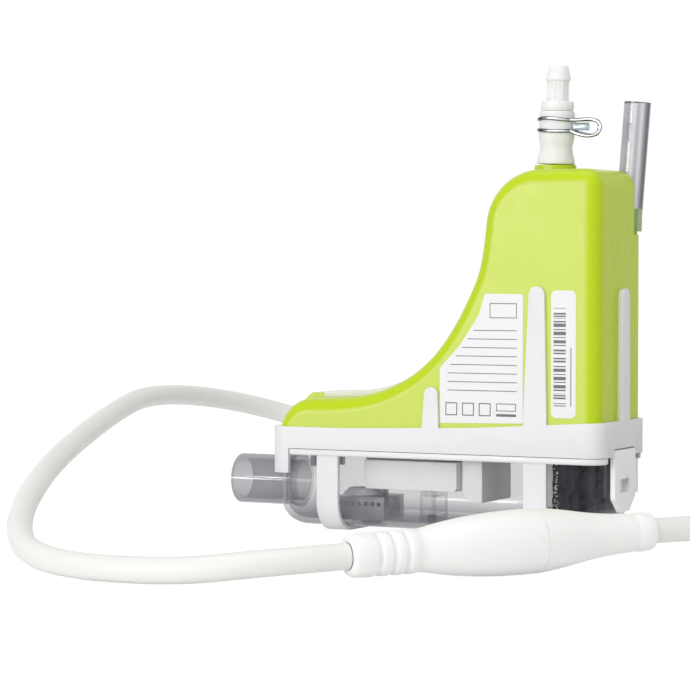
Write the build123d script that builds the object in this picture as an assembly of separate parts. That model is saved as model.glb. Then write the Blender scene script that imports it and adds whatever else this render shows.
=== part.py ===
from build123d import *
import math
import os

# Small condensate pump: a motor housing clipped over a clear float reservoir,
# with a pump tail, an inline connector and a coiled mains lead.
# Millimetres. X runs along the pump (water comes in at -X, latch at +X),
# -Y is the labelled front and Z is up. The origin is on the ground, in the
# middle between the two straps that the pump stands on.

# --- driving dimensions: motor housing
HOUSING_LEFT = -54.3
HOUSING_RIGHT = 54.7
HOUSING_HALF_DEPTH = 18.5
HOUSING_TOP = 112.6
HOUSING_BOTTOM = 28.4
HOUSING_ROUND = 4.5
HOUSING_WALL = 2.0
SPLIT_Y = 11.0                      # parting plane of front shell and rear cover
NOTCH_X = 45.5                      # the rear cover stops short here for the breather
NOTCH_Z = 93.0
NOSE_TOP = 41.7

# --- soft isolation frame
FRAME_PROUD = 1.0
FRAME_LEFT = -56.9
FRAME_RIGHT = 56.3
FRAME_HALF_DEPTH = HOUSING_HALF_DEPTH + FRAME_PROUD
FRAME_BOTTOM = 26.0
FRAME_TOP_LEFT = 32.8
FRAME_TOP_RIGHT = 36.6
FRAME_ROUND = 6.0
STRAP_PROUD = 1.8

# --- deck between the reservoir and the housing
DECK_BOTTOM = 26.2
DECK_TOP = 28.2

# --- reservoir
TANK_LEFT = -55.1
TANK_RIGHT = 51.5
TANK_HALF_DEPTH = 16.5
TANK_BOTTOM = 1.4
TANK_TOP = 25.4
TANK_WALL = 1.8
TANK_CORNER = 4.6
TANK_SKIRT_ROUND = 8.0
LUG_RIGHT = 54.2
SPIGOT_END = -77.0
SPIGOT_Z = 14.3
SPIGOT_RADIUS = 8.0
SPIGOT_BORE = 6.6
RIM_BOTTOM = 23.9
RIM_TOP = 25.8
U_STRAP_WIDTH = 7.4
U_STRAP_X = (-36.5, 34.2)
U_STRAP_THICK = 1.4

# --- float
FLOAT_LEFT = -28.0
FLOAT_RIGHT = 4.0
FLOAT_HALF_DEPTH = 9.0
FLOAT_BOTTOM = 13.4
FLOAT_TOP = 22.4

# --- pump axis, outlet and breather
PUMP_X = 33.2
PUMP_RADIUS = 3.5                   # cylinder bore
RUNNING_GAP = 0.05
OUTLET_LEAN = 1.8                   # degrees towards +X
HOSE_BOTTOM = 114.45
HOSE_TOP = 130.8
HOSE_RADIUS = 5.5
ADAPTOR_TIP = 144.6
BREATHER_FOOT = (51.2, 15.2, 94.1)
BREATHER_TOP = (54.1, 15.2, 133.8)
BREATHER_RADIUS = 4.1
BREATHER_BORE = 2.75

# --- latch
LATCH_AXIS = (55.65, 0, 27.2)
LATCH_THICK = 1.5
LATCH_HALF_WIDTH = 8.4
LATCH_TIP = 8.9

# --- cords
TAIL_DIAMETER = 7.2
LEAD_DIAMETER = 7.0
LEAD_LENGTH = 1500.0
TAIL_EXIT = (-8.0, 39.0, 38.0)
CONNECTOR_LEFT = (33.1, -138.4, 7.6)
CONNECTOR_RIGHT = (89.8, -64.6, 10.3)
TAIL_ROUTE = [
    TAIL_EXIT,
    (-8.0, 84.0, 38.0),
    (-58.0, 140.0, 26.0),
    (-118.0, 151.0, 19.6),
    (-150.0, 127.0, 32.0),
    (-151.0, 64.0, 38.0),
    (-131.0, 4.0, 33.5),
    (-99.0, -82.0, 22.8),
    (-78.5, -129.0, 10.3),
    (-51.0, -160.0, 3.8),
    (-5.0, -166.5, 4.0),
    (18.73, -157.11, 6.92),
    CONNECTOR_LEFT,
]
COIL_OUTER_TURN = 43.0              # centre line of the outermost turn
COIL_PITCH = 7.2
COIL_CENTRE = (113.5, 52.0)
COIL_LAYERS = 3
LEAD_ROUTE = [
    CONNECTOR_RIGHT,
    (103.02, -47.40, 10.93),
    (124.0, -26.0, 7.0),
    (146.5, 2.0, 3.8),
    (155.0, 20.0, 3.6),
    (156.8, 33.5, 3.6),
]

os.makedirs("parts", exist_ok=True)


def save(name, shape):
    """Write one sub-part as a STEP file of its own."""
    shape.label = name
    export_step(shape, f"parts/{name}.step")


def block(x0, x1, y0, y1, z0, z1):
    """An upright box from its two opposite corners."""
    centre = ((x0 + x1) / 2, (y0 + y1) / 2, (z0 + z1) / 2)
    return Pos(*centre) * Box(x1 - x0, y1 - y0, z1 - z0)


def rod(x, y, z0, z1, radius):
    """An upright cylinder between two heights."""
    return Pos(x, y, (z0 + z1) / 2) * Cylinder(radius, z1 - z0)


def pipe(x, y, z0, z1, outer, inner):
    """An upright tube between two heights."""
    return rod(x, y, z0, z1, outer) - rod(x, y, z0 - 1, z1 + 1, inner)


def rounded_plan(x0, x1, half_depth, radius, z0, z1):
    """A box whose upright corners are rounded, symmetric about Y = 0."""
    face = Rectangle(x1 - x0, 2 * half_depth)
    face = fillet(face.vertices(), radius)
    return Pos((x0 + x1) / 2, 0, z0) * extrude(face, z1 - z0)


def turned(points, x=0.0, y=0.0):
    """A solid of revolution about an upright axis, from (radius, height) points."""
    face = make_face(Polyline([(r, 0, z) for r, z in points], close=True))
    return Pos(x, y, 0) * revolve(face, Axis.Z)


def lean(shape):
    """Turn a piece of the outlet stack by the lean of the soft hose."""
    return shape.rotate(Axis((PUMP_X, 0, HOUSING_TOP), (0, 1, 0)), OUTLET_LEAN)


# ---------------------------------------------------------------- housing
# The slope from nose to column: X, Z and the direction of travel in degrees.
SLOPE = [
    (-43.0, NOSE_TOP, 1),
    (-20.0, 44.3, 14),
    (-1.1, 55.6, 46),
    (12.6, 77.0, 70),
]
SHOULDER_RADIUS = 17.7              # round that takes the slope over to the flat top
SHOULDER = (34.5, HOUSING_TOP - SHOULDER_RADIUS)
SHOULDER_START = 84                 # direction of travel where the round begins


def housing_outline(inset=0.0):
    """Side view of the housing: low nose, S-curve up to the column, square back.

    A positive inset gives the inside of a wall, a negative one a layer outside.
    """
    slope = []
    for x, z, direction in SLOPE:
        angle = math.radians(direction)
        slope.append((x + inset * math.sin(angle), z - inset * math.cos(angle)))
    shoulder = []
    for direction in (SHOULDER_START, SHOULDER_START / 2, 0):
        angle = math.radians(direction + 90)
        reach = SHOULDER_RADIUS - inset
        shoulder.append((SHOULDER[0] + reach * math.cos(angle), SHOULDER[1] + reach * math.sin(angle)))
    slope.append(shoulder[0])
    steep = math.radians(SHOULDER_START)
    left = HOUSING_LEFT + inset
    right = HOUSING_RIGHT - inset
    top = HOUSING_TOP - inset
    bottom = HOUSING_BOTTOM + inset
    nose_start = (left, 33.0)
    nose_middle = (-50.6 + 0.7 * inset, 38.9 - 0.7 * inset)
    corner = (HOUSING_RIGHT - 5.5, HOUSING_TOP - 5.5)
    lines = [
        Line((left, bottom), nose_start),
        ThreePointArc(nose_start, nose_middle, slope[0]),
        Spline(slope, tangents=[(1, 0.01), (math.cos(steep), math.sin(steep))]),
        ThreePointArc(*shoulder),
        Line(shoulder[-1], (corner[0], top)),
        CenterArc(corner, 5.5 - inset, 0, 90),
        Line((right, corner[1]), (right, bottom)),
        Line((right, bottom), (left, bottom)),
    ]
    return make_face(Wire(lines))


def standing(face, y_from, y_to):
    """Extrude a side-view outline between two depths."""
    upright = Plane(origin=(0, y_from, 0), x_dir=(1, 0, 0), z_dir=(0, -1, 0))
    return extrude(upright * face, -(y_to - y_from))


def edges_at_depth(solid, y):
    """Edges of the outline on one depth plane, without the straight bottom edge."""
    picked = []
    for edge in solid.edges():
        box = edge.bounding_box()
        flat = abs(box.min.Y - y) < 1e-4 and abs(box.max.Y - y) < 1e-4
        at_bottom = box.max.Z < HOUSING_BOTTOM + 1e-4
        if flat and not at_bottom:
            picked.append(edge)
    return picked


def front_shell():
    body = standing(housing_outline(), -HOUSING_HALF_DEPTH, SPLIT_Y)
    body = fillet(edges_at_depth(body, -HOUSING_HALF_DEPTH), HOUSING_ROUND)
    hollow = standing(housing_outline(HOUSING_WALL), -HOUSING_HALF_DEPTH + HOUSING_WALL, SPLIT_Y + 1)
    body = body - hollow
    # back wall of the breather notch
    body = body + block(NOTCH_X - 2.5, HOUSING_RIGHT - 1, SPLIT_Y - 1.8, SPLIT_Y, NOTCH_Z - 2.5, 108.5)
    # collar that the outlet hose stands on, and the opening for the nozzle
    body = body + rod(PUMP_X, 0, HOUSING_TOP - 2.6, HOUSING_TOP + 1.6, 6.4)
    body = body - rod(PUMP_X, 0, HOUSING_TOP - 4, HOUSING_TOP + 3, 3.3)
    # opening for the inlet tube and the recesses of the deck screws
    body = body - rod(PUMP_X, 0, HOUSING_BOTTOM - 1, HOUSING_BOTTOM + 4, 3.2)
    for x, y in DECK_SCREWS:
        body = body - rod(x, y, HOUSING_BOTTOM - 1, HOUSING_BOTTOM + 4, 1.5)
    # green lug on the nose that the slope strap hooks over
    lug = make_face(Polyline([
        (-53.6, 39.3), (-49.5, 42.9), (-45.0, 42.9), (-45.0, 39.8), (-50.6, 36.6), (-53.5, 33.2),
    ], close=True))
    return body + standing(lug, -3.6, 3.6)


def back_cover():
    body = standing(housing_outline(), SPLIT_Y, HOUSING_HALF_DEPTH)
    body = fillet(edges_at_depth(body, HOUSING_HALF_DEPTH), HOUSING_ROUND)
    hollow = standing(housing_outline(HOUSING_WALL + 0.6), SPLIT_Y - 1, HOUSING_HALF_DEPTH - HOUSING_WALL)
    body = body - hollow
    # the notch for the breather: closed by a ledge and an upright wall
    body = body + block(NOTCH_X - 2, HOUSING_RIGHT - 3, SPLIT_Y + 0.2, HOUSING_HALF_DEPTH - 1.6, NOTCH_Z - 3, NOTCH_Z)
    body = body + block(NOTCH_X - 2, NOTCH_X, SPLIT_Y + 0.2, HOUSING_HALF_DEPTH - 1.6, NOTCH_Z - 3, 108)
    body = body - block(NOTCH_X, HOUSING_RIGHT + 1, SPLIT_Y - 1, HOUSING_HALF_DEPTH + 1, NOTCH_Z, HOUSING_TOP + 1)
    # breather spigot on the ledge, with its vent duct through it
    foot_x, foot_y, foot_z = BREATHER_FOOT
    body = body + rod(foot_x, foot_y, NOTCH_Z - 1, 101.0, BREATHER_BORE - 0.05)
    body = body - rod(foot_x - 0.2, foot_y - 0.2, NOTCH_Z - 4, 102.0, 1.5)
    # gland opening for the pump tail
    gland = Pos(TAIL_EXIT[0], HOUSING_HALF_DEPTH, TAIL_EXIT[2]) * Rot(90, 0, 0) * Cylinder(5.05, 12)
    body = body - gland
    # screw bosses drilled right through
    for x, z in COVER_SCREWS:
        body = body + along_y(x, SPLIT_Y + 0.2, HOUSING_HALF_DEPTH - 1, z, 3.0)
        body = body - along_y(x, SPLIT_Y - 1, HOUSING_HALF_DEPTH + 1, z, 1.6)
        body = body - along_y(x, HOUSING_HALF_DEPTH - 1.9, HOUSING_HALF_DEPTH + 1, z, 2.9)
    return body


COVER_SCREWS = [(-46.0, 35.5), (8.0, 60.0), (24.0, 104.0), (48.0, 42.0)]


def along_y(x, y0, y1, z, radius):
    """A cylinder along the depth."""
    return Pos(x, (y0 + y1) / 2, z) * Rot(90, 0, 0) * Cylinder(radius, y1 - y0)


def cover_screws():
    """Four pan-head screws with cross slots, in from the back."""
    screws = []
    for x, z in COVER_SCREWS:
        head = along_y(x, HOUSING_HALF_DEPTH - 1.85, HOUSING_HALF_DEPTH - 0.1, z, 2.7)
        shank = along_y(x, SPLIT_Y + 0.3, HOUSING_HALF_DEPTH - 1.8, z, 1.45)
        screw = head + shank
        slot_depth = HOUSING_HALF_DEPTH - 1.2
        screw = screw - block(x - 1.7, x + 1.7, slot_depth, slot_depth + 3, z - 0.35, z + 0.35)
        screw = screw - block(x - 0.35, x + 0.35, slot_depth, slot_depth + 3, z - 1.7, z + 1.7)
        screws.append(screw)
    return Compound(screws)


# ---------------------------------------------------------------- isolation frame
def front_rib(x0, x1, foot0, foot1, top, y_in, y_out):
    """An upright rib with a round top, a little wider at its foot."""
    radius = (x1 - x0) / 2
    shoulder = top - radius
    middle = (x0 + x1) / 2
    face = make_face([
        Line((foot0, FRAME_TOP_LEFT - 2), (foot1, FRAME_TOP_LEFT - 2)),
        Line((foot1, FRAME_TOP_LEFT - 2), (x1, shoulder)),
        ThreePointArc((x1, shoulder), (middle, top), (x0, shoulder)),
        Line((x0, shoulder), (foot0, FRAME_TOP_LEFT - 2)),
    ])
    return standing(face, y_in, y_out)


def isolation_frame():
    """Soft jacket round the foot of the housing, with ribs, slope strap and fork."""
    band = rounded_plan(FRAME_LEFT, FRAME_RIGHT, FRAME_HALF_DEPTH, FRAME_ROUND, FRAME_BOTTOM, FRAME_TOP_RIGHT)
    top_edge = make_face(Polyline([
        (FRAME_LEFT - 1, FRAME_TOP_LEFT),
        (-31.0, FRAME_TOP_LEFT),
        (13.0, 34.1),
        (52.0, FRAME_TOP_RIGHT - 0.1),
        (60.0, FRAME_TOP_RIGHT),
        (60.0, FRAME_TOP_RIGHT + 5),
        (FRAME_LEFT - 1, FRAME_TOP_RIGHT + 5),
    ], close=True))
    band = band - standing(top_edge, -30, 30)
    cavity = rounded_plan(HOUSING_LEFT - 0.02, HOUSING_RIGHT + 0.02, HOUSING_HALF_DEPTH + 0.02,
                          HOUSING_ROUND, FRAME_BOTTOM - 1, 60)
    band = band - cavity
    # ribs on the front, mirrored on the back
    ribs = front_rib(-2.1, 2.4, -3.1, 2.8, 46.3, -FRAME_HALF_DEPTH, -HOUSING_HALF_DEPTH - 0.02)
    ribs = ribs + front_rib(32.8, 37.9, 30.7, 38.7, 77.3, -FRAME_HALF_DEPTH, -HOUSING_HALF_DEPTH - 0.02)
    band = band + ribs + mirror(ribs, Plane.XZ)
    # rib on the latch end
    end_rib = make_face([
        Line((-3.3, 30.0), (3.3, 30.0)),
        Line((3.3, 30.0), (3.0, 73.6)),
        ThreePointArc((3.0, 73.6), (0, 76.6), (-3.0, 73.6)),
        Line((-3.0, 73.6), (-3.3, 30.0)),
    ])
    end_plane = Plane(origin=(HOUSING_RIGHT + 0.02, 0.8, 0), x_dir=(0, 1, 0), z_dir=(1, 0, 0))
    band = band + extrude(end_plane * end_rib, FRAME_RIGHT - HOUSING_RIGHT - 0.02)
    # strap of its own that runs from the lug on the nose up the slope
    outer = housing_outline(-STRAP_PROUD)
    strap = standing(outer, -4.0, 4.0) - standing(housing_outline(-0.02), -5.0, 5.0)
    strap = strap & block(-44.8, 16.0, -4, 4, FRAME_TOP_LEFT - 1, 74.0)
    # fork legs that straddle the inlet spigot: the band's left corners carried down
    legs = rounded_plan(FRAME_LEFT, FRAME_RIGHT, FRAME_HALF_DEPTH, FRAME_ROUND, 18.2, FRAME_BOTTOM + 1)
    legs = legs - rounded_plan(FRAME_LEFT + 1.5, FRAME_RIGHT, FRAME_HALF_DEPTH - 1.5, FRAME_ROUND - 1.5, 17, 30)
    near = legs & block(FRAME_LEFT - 1, -49.6, -FRAME_HALF_DEPTH - 1, -9.2, 17, FRAME_BOTTOM + 1)
    far = mirror(near, Plane.XZ)
    band = band + near + far
    # cut-out for the latch strap
    band = band - block(50.0, 60.0, -LATCH_HALF_WIDTH - 0.15, LATCH_HALF_WIDTH + 0.15, FRAME_BOTTOM - 1, 28.3)
    # room for the flange of the pump tail's strain relief
    band = band - along_y(TAIL_EXIT[0], HOUSING_HALF_DEPTH - 1, HOUSING_HALF_DEPTH + 4, TAIL_EXIT[2], 6.4)
    return Compound([*band.solids(), *strap.solids()])


# ---------------------------------------------------------------- deck and reservoir
def deck_plate():
    """Lid of the reservoir: plate with a hole for the inlet tube and the sensor pod."""
    plate = rounded_plan(HOUSING_LEFT + 0.3, HOUSING_RIGHT - 0.3, HOUSING_HALF_DEPTH - 0.3, 4.2, DECK_BOTTOM, DECK_TOP)
    plate = plate - rod(PUMP_X, 0, 20, 40, 3.2)
    plate = plate - block(7.6, 11.2, -6.0, 10.0, 20, 40)
    for x, y in DECK_SCREWS:
        plate = plate - rod(x, y, 20, 40, 1.6)
    return plate


DECK_SCREWS = [(-48.0, -7.4), (-48.0, 7.4), (49.0, -7.4), (49.0, 7.4)]


def deck_screws():
    """Screws that hold the deck up against the housing floor."""
    screws = []
    for x, y in DECK_SCREWS:
        shank = rod(x, y, DECK_BOTTOM + 0.4, 34.0, 1.45)
        washer = rod(x, y, HOUSING_BOTTOM + HOUSING_WALL + 0.02, 32.6, 2.9)
        screws.append(shank + washer)
    return Compound(screws)


def sensor_pod():
    """Closed white pocket that hangs in the reservoir and holds the level sensor."""
    pod = block(5.9, 12.8, -9.0, 13.0, 10.3, DECK_BOTTOM)
    corner = make_face(Polyline([(5.0, 9.0), (9.4, 9.0), (5.0, 14.6)], close=True))
    pod = pod - standing(corner, -20, 20)
    pod = pod - block(7.6, 11.2, -6.0, 10.0, 12.0, DECK_BOTTOM + 1)
    return pod


def round_skirt(x0, x1, half_depth, corner, bottom, top, skirt_radius):
    """A tub: a large round along the bottom edge, then tighter rounds up its corners."""
    body = block(x0, x1, -half_depth, half_depth, bottom, top)
    skirt = [e for e in body.edges() if e.bounding_box().max.Z < bottom + 1e-3]
    body = fillet(skirt, skirt_radius)
    corners = []
    for edge in body.edges():
        middle = edge.center()
        near_end = min(middle.X - x0, x1 - middle.X) < skirt_radius
        near_side = half_depth - abs(middle.Y) < skirt_radius
        tall = edge.bounding_box().size.Z > 3
        if near_end and near_side and tall:
            corners.append(edge)
    return fillet(corners, corner)


def reservoir_tank():
    outer = round_skirt(TANK_LEFT, TANK_RIGHT, TANK_HALF_DEPTH, TANK_CORNER,
                        TANK_BOTTOM, TANK_TOP, TANK_SKIRT_ROUND)
    flange = rounded_plan(TANK_LEFT - 0.2, TANK_RIGHT + 1.1, TANK_HALF_DEPTH + 1.2, 6.0, RIM_BOTTOM + 0.8, TANK_TOP)
    # catch block for the latch, with its wedge
    catch = block(TANK_RIGHT - 1, LUG_RIGHT, -11.5, 16.2, 13.6, TANK_TOP)
    wedge = make_face(Polyline([
        (LUG_RIGHT - 1, 15.4), (LUG_RIGHT, 15.4), (LUG_RIGHT + 1.7, 17.4),
        (LUG_RIGHT + 1.7, 18.5), (LUG_RIGHT - 1, 18.5),
    ], close=True))
    catch = catch + standing(wedge, -3.4, 3.4)
    spigot = Pos((SPIGOT_END + TANK_LEFT + 4) / 2, 0, SPIGOT_Z) * Rot(0, 90, 0) * \
        Cylinder(SPIGOT_RADIUS, TANK_LEFT + 4 - SPIGOT_END)
    # a collar where the spigot leaves the end wall
    root = Pos(TANK_LEFT, 0, SPIGOT_Z) * Rot(0, 90, 0) * Cylinder(SPIGOT_RADIUS + 0.5, 2.2)
    tank = outer + flange + catch + spigot + root
    hollow = round_skirt(TANK_LEFT + TANK_WALL, TANK_RIGHT - TANK_WALL, TANK_HALF_DEPTH - TANK_WALL,
                         TANK_CORNER - TANK_WALL, TANK_BOTTOM + TANK_WALL, TANK_TOP + 1,
                         TANK_SKIRT_ROUND - TANK_WALL)
    bore = Pos((SPIGOT_END + TANK_LEFT) / 2, 0, SPIGOT_Z) * Rot(0, 90, 0) * \
        Cylinder(SPIGOT_BORE, TANK_LEFT - SPIGOT_END + 10)
    return tank - hollow - bore


def u_strap(x):
    """One strap from the rim down the front, under the tank and up the back."""
    gap = 0.1
    outside = (TANK_HALF_DEPTH + gap + U_STRAP_THICK, TANK_SKIRT_ROUND + gap + U_STRAP_THICK)
    inside = (TANK_HALF_DEPTH + gap, TANK_SKIRT_ROUND + gap)
    faces = []
    for half, radius in (outside, inside):
        low = 0.0 if half == outside[0] else TANK_BOTTOM - gap
        faces.append(make_face([
            Line((-half, RIM_TOP - 0.6), (-half, low + radius)),
            CenterArc((-half + radius, low + radius), radius, 180, 90),
            Line((-half + radius, low), (half - radius, low)),
            CenterArc((half - radius, low + radius), radius, 270, 90),
            Line((half, low + radius), (half, RIM_TOP - 0.6)),
            Line((half, RIM_TOP - 0.6), (-half, RIM_TOP - 0.6)),
        ]))
    plane = Plane(origin=(x - U_STRAP_WIDTH / 2, 0, 0), x_dir=(0, 1, 0), z_dir=(1, 0, 0))
    return extrude(plane * faces[0], U_STRAP_WIDTH) - extrude(plane * faces[1], U_STRAP_WIDTH)


def reservoir_cradle():
    """White carrier: a rim under the jacket and the two straps it stands on."""
    rim = rounded_plan(FRAME_LEFT + 0.3, FRAME_RIGHT - 0.3, FRAME_HALF_DEPTH - 0.3, FRAME_ROUND, RIM_BOTTOM, RIM_TOP)
    lower = [e for e in rim.edges() if e.bounding_box().max.Z < RIM_BOTTOM + 1e-3]
    rim = fillet(lower, 0.8)
    throat = rounded_plan(TANK_LEFT - 0.1, TANK_RIGHT + 0.1, TANK_HALF_DEPTH + 0.1, TANK_CORNER, 20, 30)
    seat = rounded_plan(TANK_LEFT - 0.3, TANK_RIGHT + 1.2, TANK_HALF_DEPTH + 1.3, 6.1, RIM_BOTTOM + 0.7, 30)
    rim = rim - throat
    # the rim stops on both sides of the catch and stays clear of the latch strap
    rim = rim - block(50.0, 60.0, -11.7, 16.7, 20, 30)
    rim = rim - block(54.6, 60.0, -13.0, 16.7, 20, 30)
    # open at the inlet end, where the fork legs come down
    rim = rim - block(FRAME_LEFT - 1, -49.3, -25.0, 25.0, 17, 30)
    for x in U_STRAP_X:
        rim = rim + u_strap(x)
    return rim - seat


def reservoir_gasket():
    """Flat seal on the tank's flange."""
    ring = rounded_plan(TANK_LEFT + 1.0, TANK_RIGHT + 0.7, TANK_HALF_DEPTH + 0.7, 5.6, TANK_TOP, DECK_BOTTOM - 0.1)
    hole = rounded_plan(TANK_LEFT + 2.2, TANK_RIGHT - 0.7, TANK_HALF_DEPTH - 0.8, 4.2, 20, 30)
    return ring - hole


def strainer():
    """Perforated basket on the reservoir floor that catches slime."""
    basket = block(-39.0, -22.0, -7.0, 7.0, 3.4, 10.6)
    basket = basket - block(-38.0, -23.0, -6.0, 6.0, 3.0, 9.8)
    for i in range(7):
        x = -37.2 + i * 2.2
        basket = basket - block(x - 0.6, x + 0.6, -8, 8, 7.6, 8.8)
    for i in range(5):
        y = -4.8 + i * 2.4
        basket = basket - block(-40, -20, y - 0.6, y + 0.6, 5.2, 6.4)
    return basket


def strainer_cone():
    """Low frosted hood over the basket."""
    return turned([(0, 10.7), (6.2, 10.7), (6.2, 11.2), (4.4, 12.8), (0, 12.8)], -33.0, 0)


def foam_block():
    """Black noise-damping sponge in the latch end of the reservoir."""
    gap = TANK_WALL + 0.3
    room = round_skirt(TANK_LEFT + gap, TANK_RIGHT - gap, TANK_HALF_DEPTH - gap, TANK_CORNER - gap,
                       TANK_BOTTOM + gap, TANK_TOP, TANK_SKIRT_ROUND - gap)
    return room & block(37.9, 60.0, -20.0, 20.0, 0.0, 24.0)


def float_guide():
    """Rail on the reservoir floor that keeps the float upright and off the bottom."""
    guide = block(-10.0, -6.0, -6.0, 6.0, 3.3, 12.9)
    guide = guide - block(-11.0, -5.0, -4.0, 4.0, 5.0, 11.0)
    return guide


def sensor_float():
    """Foam-filled block float with a pocket for the magnet."""
    body = block(FLOAT_LEFT, FLOAT_RIGHT, -FLOAT_HALF_DEPTH, FLOAT_HALF_DEPTH, FLOAT_BOTTOM, FLOAT_TOP)
    body = chamfer(body.edges().filter_by(Axis.Y).sort_by(Axis.Z)[:2], 0.8)
    body = body - rod(0.0, 0.0, FLOAT_TOP - 3.2, FLOAT_TOP + 1, 3.1)
    return body


def drain_plug():
    """Small dark plug in the reservoir floor."""
    return rod(-5.0, -7.5, TANK_BOTTOM + TANK_WALL + 0.02, 5.8, 1.3)


# ---------------------------------------------------------------- latch
def latch_strap():
    """Soft strap that hooks over the catch; its root turns about the slit."""
    x_in = LATCH_AXIS[0] - LATCH_THICK / 2
    face = make_face(Polyline([
        (-LATCH_HALF_WIDTH, LATCH_AXIS[2]), (-LATCH_HALF_WIDTH, 13.2), (-3.4, LATCH_TIP),
        (3.2, LATCH_TIP), (LATCH_HALF_WIDTH, 13.4), (LATCH_HALF_WIDTH, LATCH_AXIS[2]),
    ], close=True))
    plane = Plane(origin=(x_in, 0, 0), x_dir=(0, 1, 0), z_dir=(1, 0, 0))
    strap = extrude(plane * face, LATCH_THICK)
    root = Pos(*LATCH_AXIS) * Rot(90, 0, 0) * Cylinder(LATCH_THICK / 2, 2 * LATCH_HALF_WIDTH)
    strap = strap + root
    return strap - block(50, 60, -4.2, 4.2, 14.8, 19.1)


# ---------------------------------------------------------------- solenoid pump
def yoke():
    """Laminated steel frame round the coil."""
    frame = block(21.7, 44.7, -7.0, 7.0, 58.0, 86.0)
    frame = frame - block(24.0, 42.4, -8.0, 8.0, 60.2, 83.8)
    return frame - rod(PUMP_X, 0, 50, 95, 4.75)


def bobbin():
    body = pipe(PUMP_X, 0, 60.25, 83.75, 5.6, 4.75)
    body = body + pipe(PUMP_X, 0, 60.25, 61.7, 9.0, 4.75)
    return body + pipe(PUMP_X, 0, 82.3, 83.75, 9.0, 4.75)


def coil_winding():
    return pipe(PUMP_X, 0, 61.75, 82.25, 8.8, 5.65)


def cylinder():
    """Pump barrel: inlet valve chamber below, bore for the piston above."""
    return turned([
        (1.6, 38.0), (2.9, 38.0), (2.9, 40.0), (6.0, 40.0), (6.0, 51.0), (4.7, 52.0), (4.7, 96.0),
        (PUMP_RADIUS, 96.0), (PUMP_RADIUS, 54.0), (2.0, 54.0), (2.0, 51.0), (3.2, 51.0),
        (3.2, 43.0), (1.6, 43.0),
    ], PUMP_X)


def inlet_tube():
    """Suction tube from the reservoir up to the barrel."""
    return pipe(PUMP_X, 0, 7.0, 37.9, 2.9, 1.7)


def inlet_filter():
    """Slotted foot over the end of the suction tube."""
    body = turned([
        (0, 4.2), (3.6, 4.2), (3.6, 9.5), (2.95, 9.5), (2.95, 6.9), (0, 6.9),
    ], PUMP_X)
    body = body - rod(PUMP_X, 0, 5.2, 8.0, 1.7)
    for i in range(4):
        slot = Rot(0, 0, 45 * i) * Box(9.0, 0.8, 1.2)
        body = body - Pos(PUMP_X, 0, 5.9) * slot
    return body


def outlet_head():
    """Valve chamber on top of the barrel, with the nozzle that the hose grips."""
    return turned([
        (4.75, 92.0), (6.6, 92.0), (6.6, 108.0), (3.1, 108.6), (3.1, 122.0), (1.8, 122.0),
        (1.8, 107.0), (3.2, 106.0), (3.2, 98.2), (2.0, 98.2), (2.0, 96.1), (4.75, 96.1),
    ], PUMP_X)


def valve(z):
    """Poppet: a disc with a guided stem."""
    return turned([(0, z), (2.9, z), (2.9, z + 1.0), (1.0, z + 1.0), (1.0, z + 2.6), (0, z + 2.6)], PUMP_X)


def spring(x, z0, z1, radius, wire, turns):
    """A compression coil spring."""
    height = z1 - z0 - wire
    path = Helix(pitch=height / turns, height=height, radius=radius)
    profile = Plane(origin=path @ 0, z_dir=path % 0) * Circle(wire / 2)
    coil = sweep(profile, path=path, is_frenet=True)
    return Pos(x, 0, z0 + wire / 2) * coil


def piston():
    """Magnetic armature with a bored-through rod."""
    return turned([
        (0.9, 62.0), (PUMP_RADIUS - RUNNING_GAP, 62.0), (PUMP_RADIUS - RUNNING_GAP, 65.0), (3.05, 65.0),
        (3.05, 66.6), (PUMP_RADIUS - RUNNING_GAP, 66.6), (PUMP_RADIUS - RUNNING_GAP, 82.0), (0.9, 82.0),
    ], PUMP_X)


def piston_ring():
    return pipe(PUMP_X, 0, 65.1, 66.5, PUMP_RADIUS - RUNNING_GAP, 3.08)


def pump_bracket():
    """Plastic saddle that carries the pump on its rubber feet."""
    body = block(21.7, 44.7, -9.0, 9.0, 31.9, 33.6)
    body = body + block(21.7, 23.9, -7.0, 7.0, 33.6, 57.9)
    body = body + block(42.5, 44.7, -7.0, 7.0, 33.6, 57.9)
    return body - rod(PUMP_X, 0, 30, 40, 4.0)


def rubber_feet():
    feet = []
    for x in (24.0, 42.4):
        for y in (-6.5, 6.5):
            feet.append(rod(x, y, HOUSING_BOTTOM + HOUSING_WALL + 0.02, 31.88, 2.2))
    return Compound(feet)


def outlet_hose():
    """Silicone sleeve, waisted below the clip and flared at its foot."""
    body = turned([
        (3.12, HOSE_BOTTOM), (5.8, HOSE_BOTTOM), (5.7, 115.6), (5.1, 118.0), (4.95, 119.4), (5.3, 121.4),
        (HOSE_RADIUS, 122.6), (HOSE_RADIUS, 130.2), (5.2, HOSE_TOP), (3.12, HOSE_TOP),
    ], PUMP_X)
    for z in CLIP_WIRES:
        body = body - Pos(PUMP_X, 0, z) * Torus(5.5, 0.65)
    return lean(body)


CLIP_WIRES = (124.6, 128.1)


def outlet_adaptor():
    """Rigid barbed adaptor: stem in the hose, collar, neck and one barb."""
    body = turned([
        (1.7, 123.0), (3.1, 123.0), (3.1, HOSE_TOP + 0.05), (4.6, HOSE_TOP + 0.05), (4.6, 131.5), (5.1, 131.7),
        (5.1, 133.1), (4.6, 133.7), (3.3, 134.2), (3.3, 140.1), (3.8, 140.1), (3.8, 141.0),
        (2.9, ADAPTOR_TIP), (1.7, ADAPTOR_TIP),
    ], PUMP_X)
    return lean(body)


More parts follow.
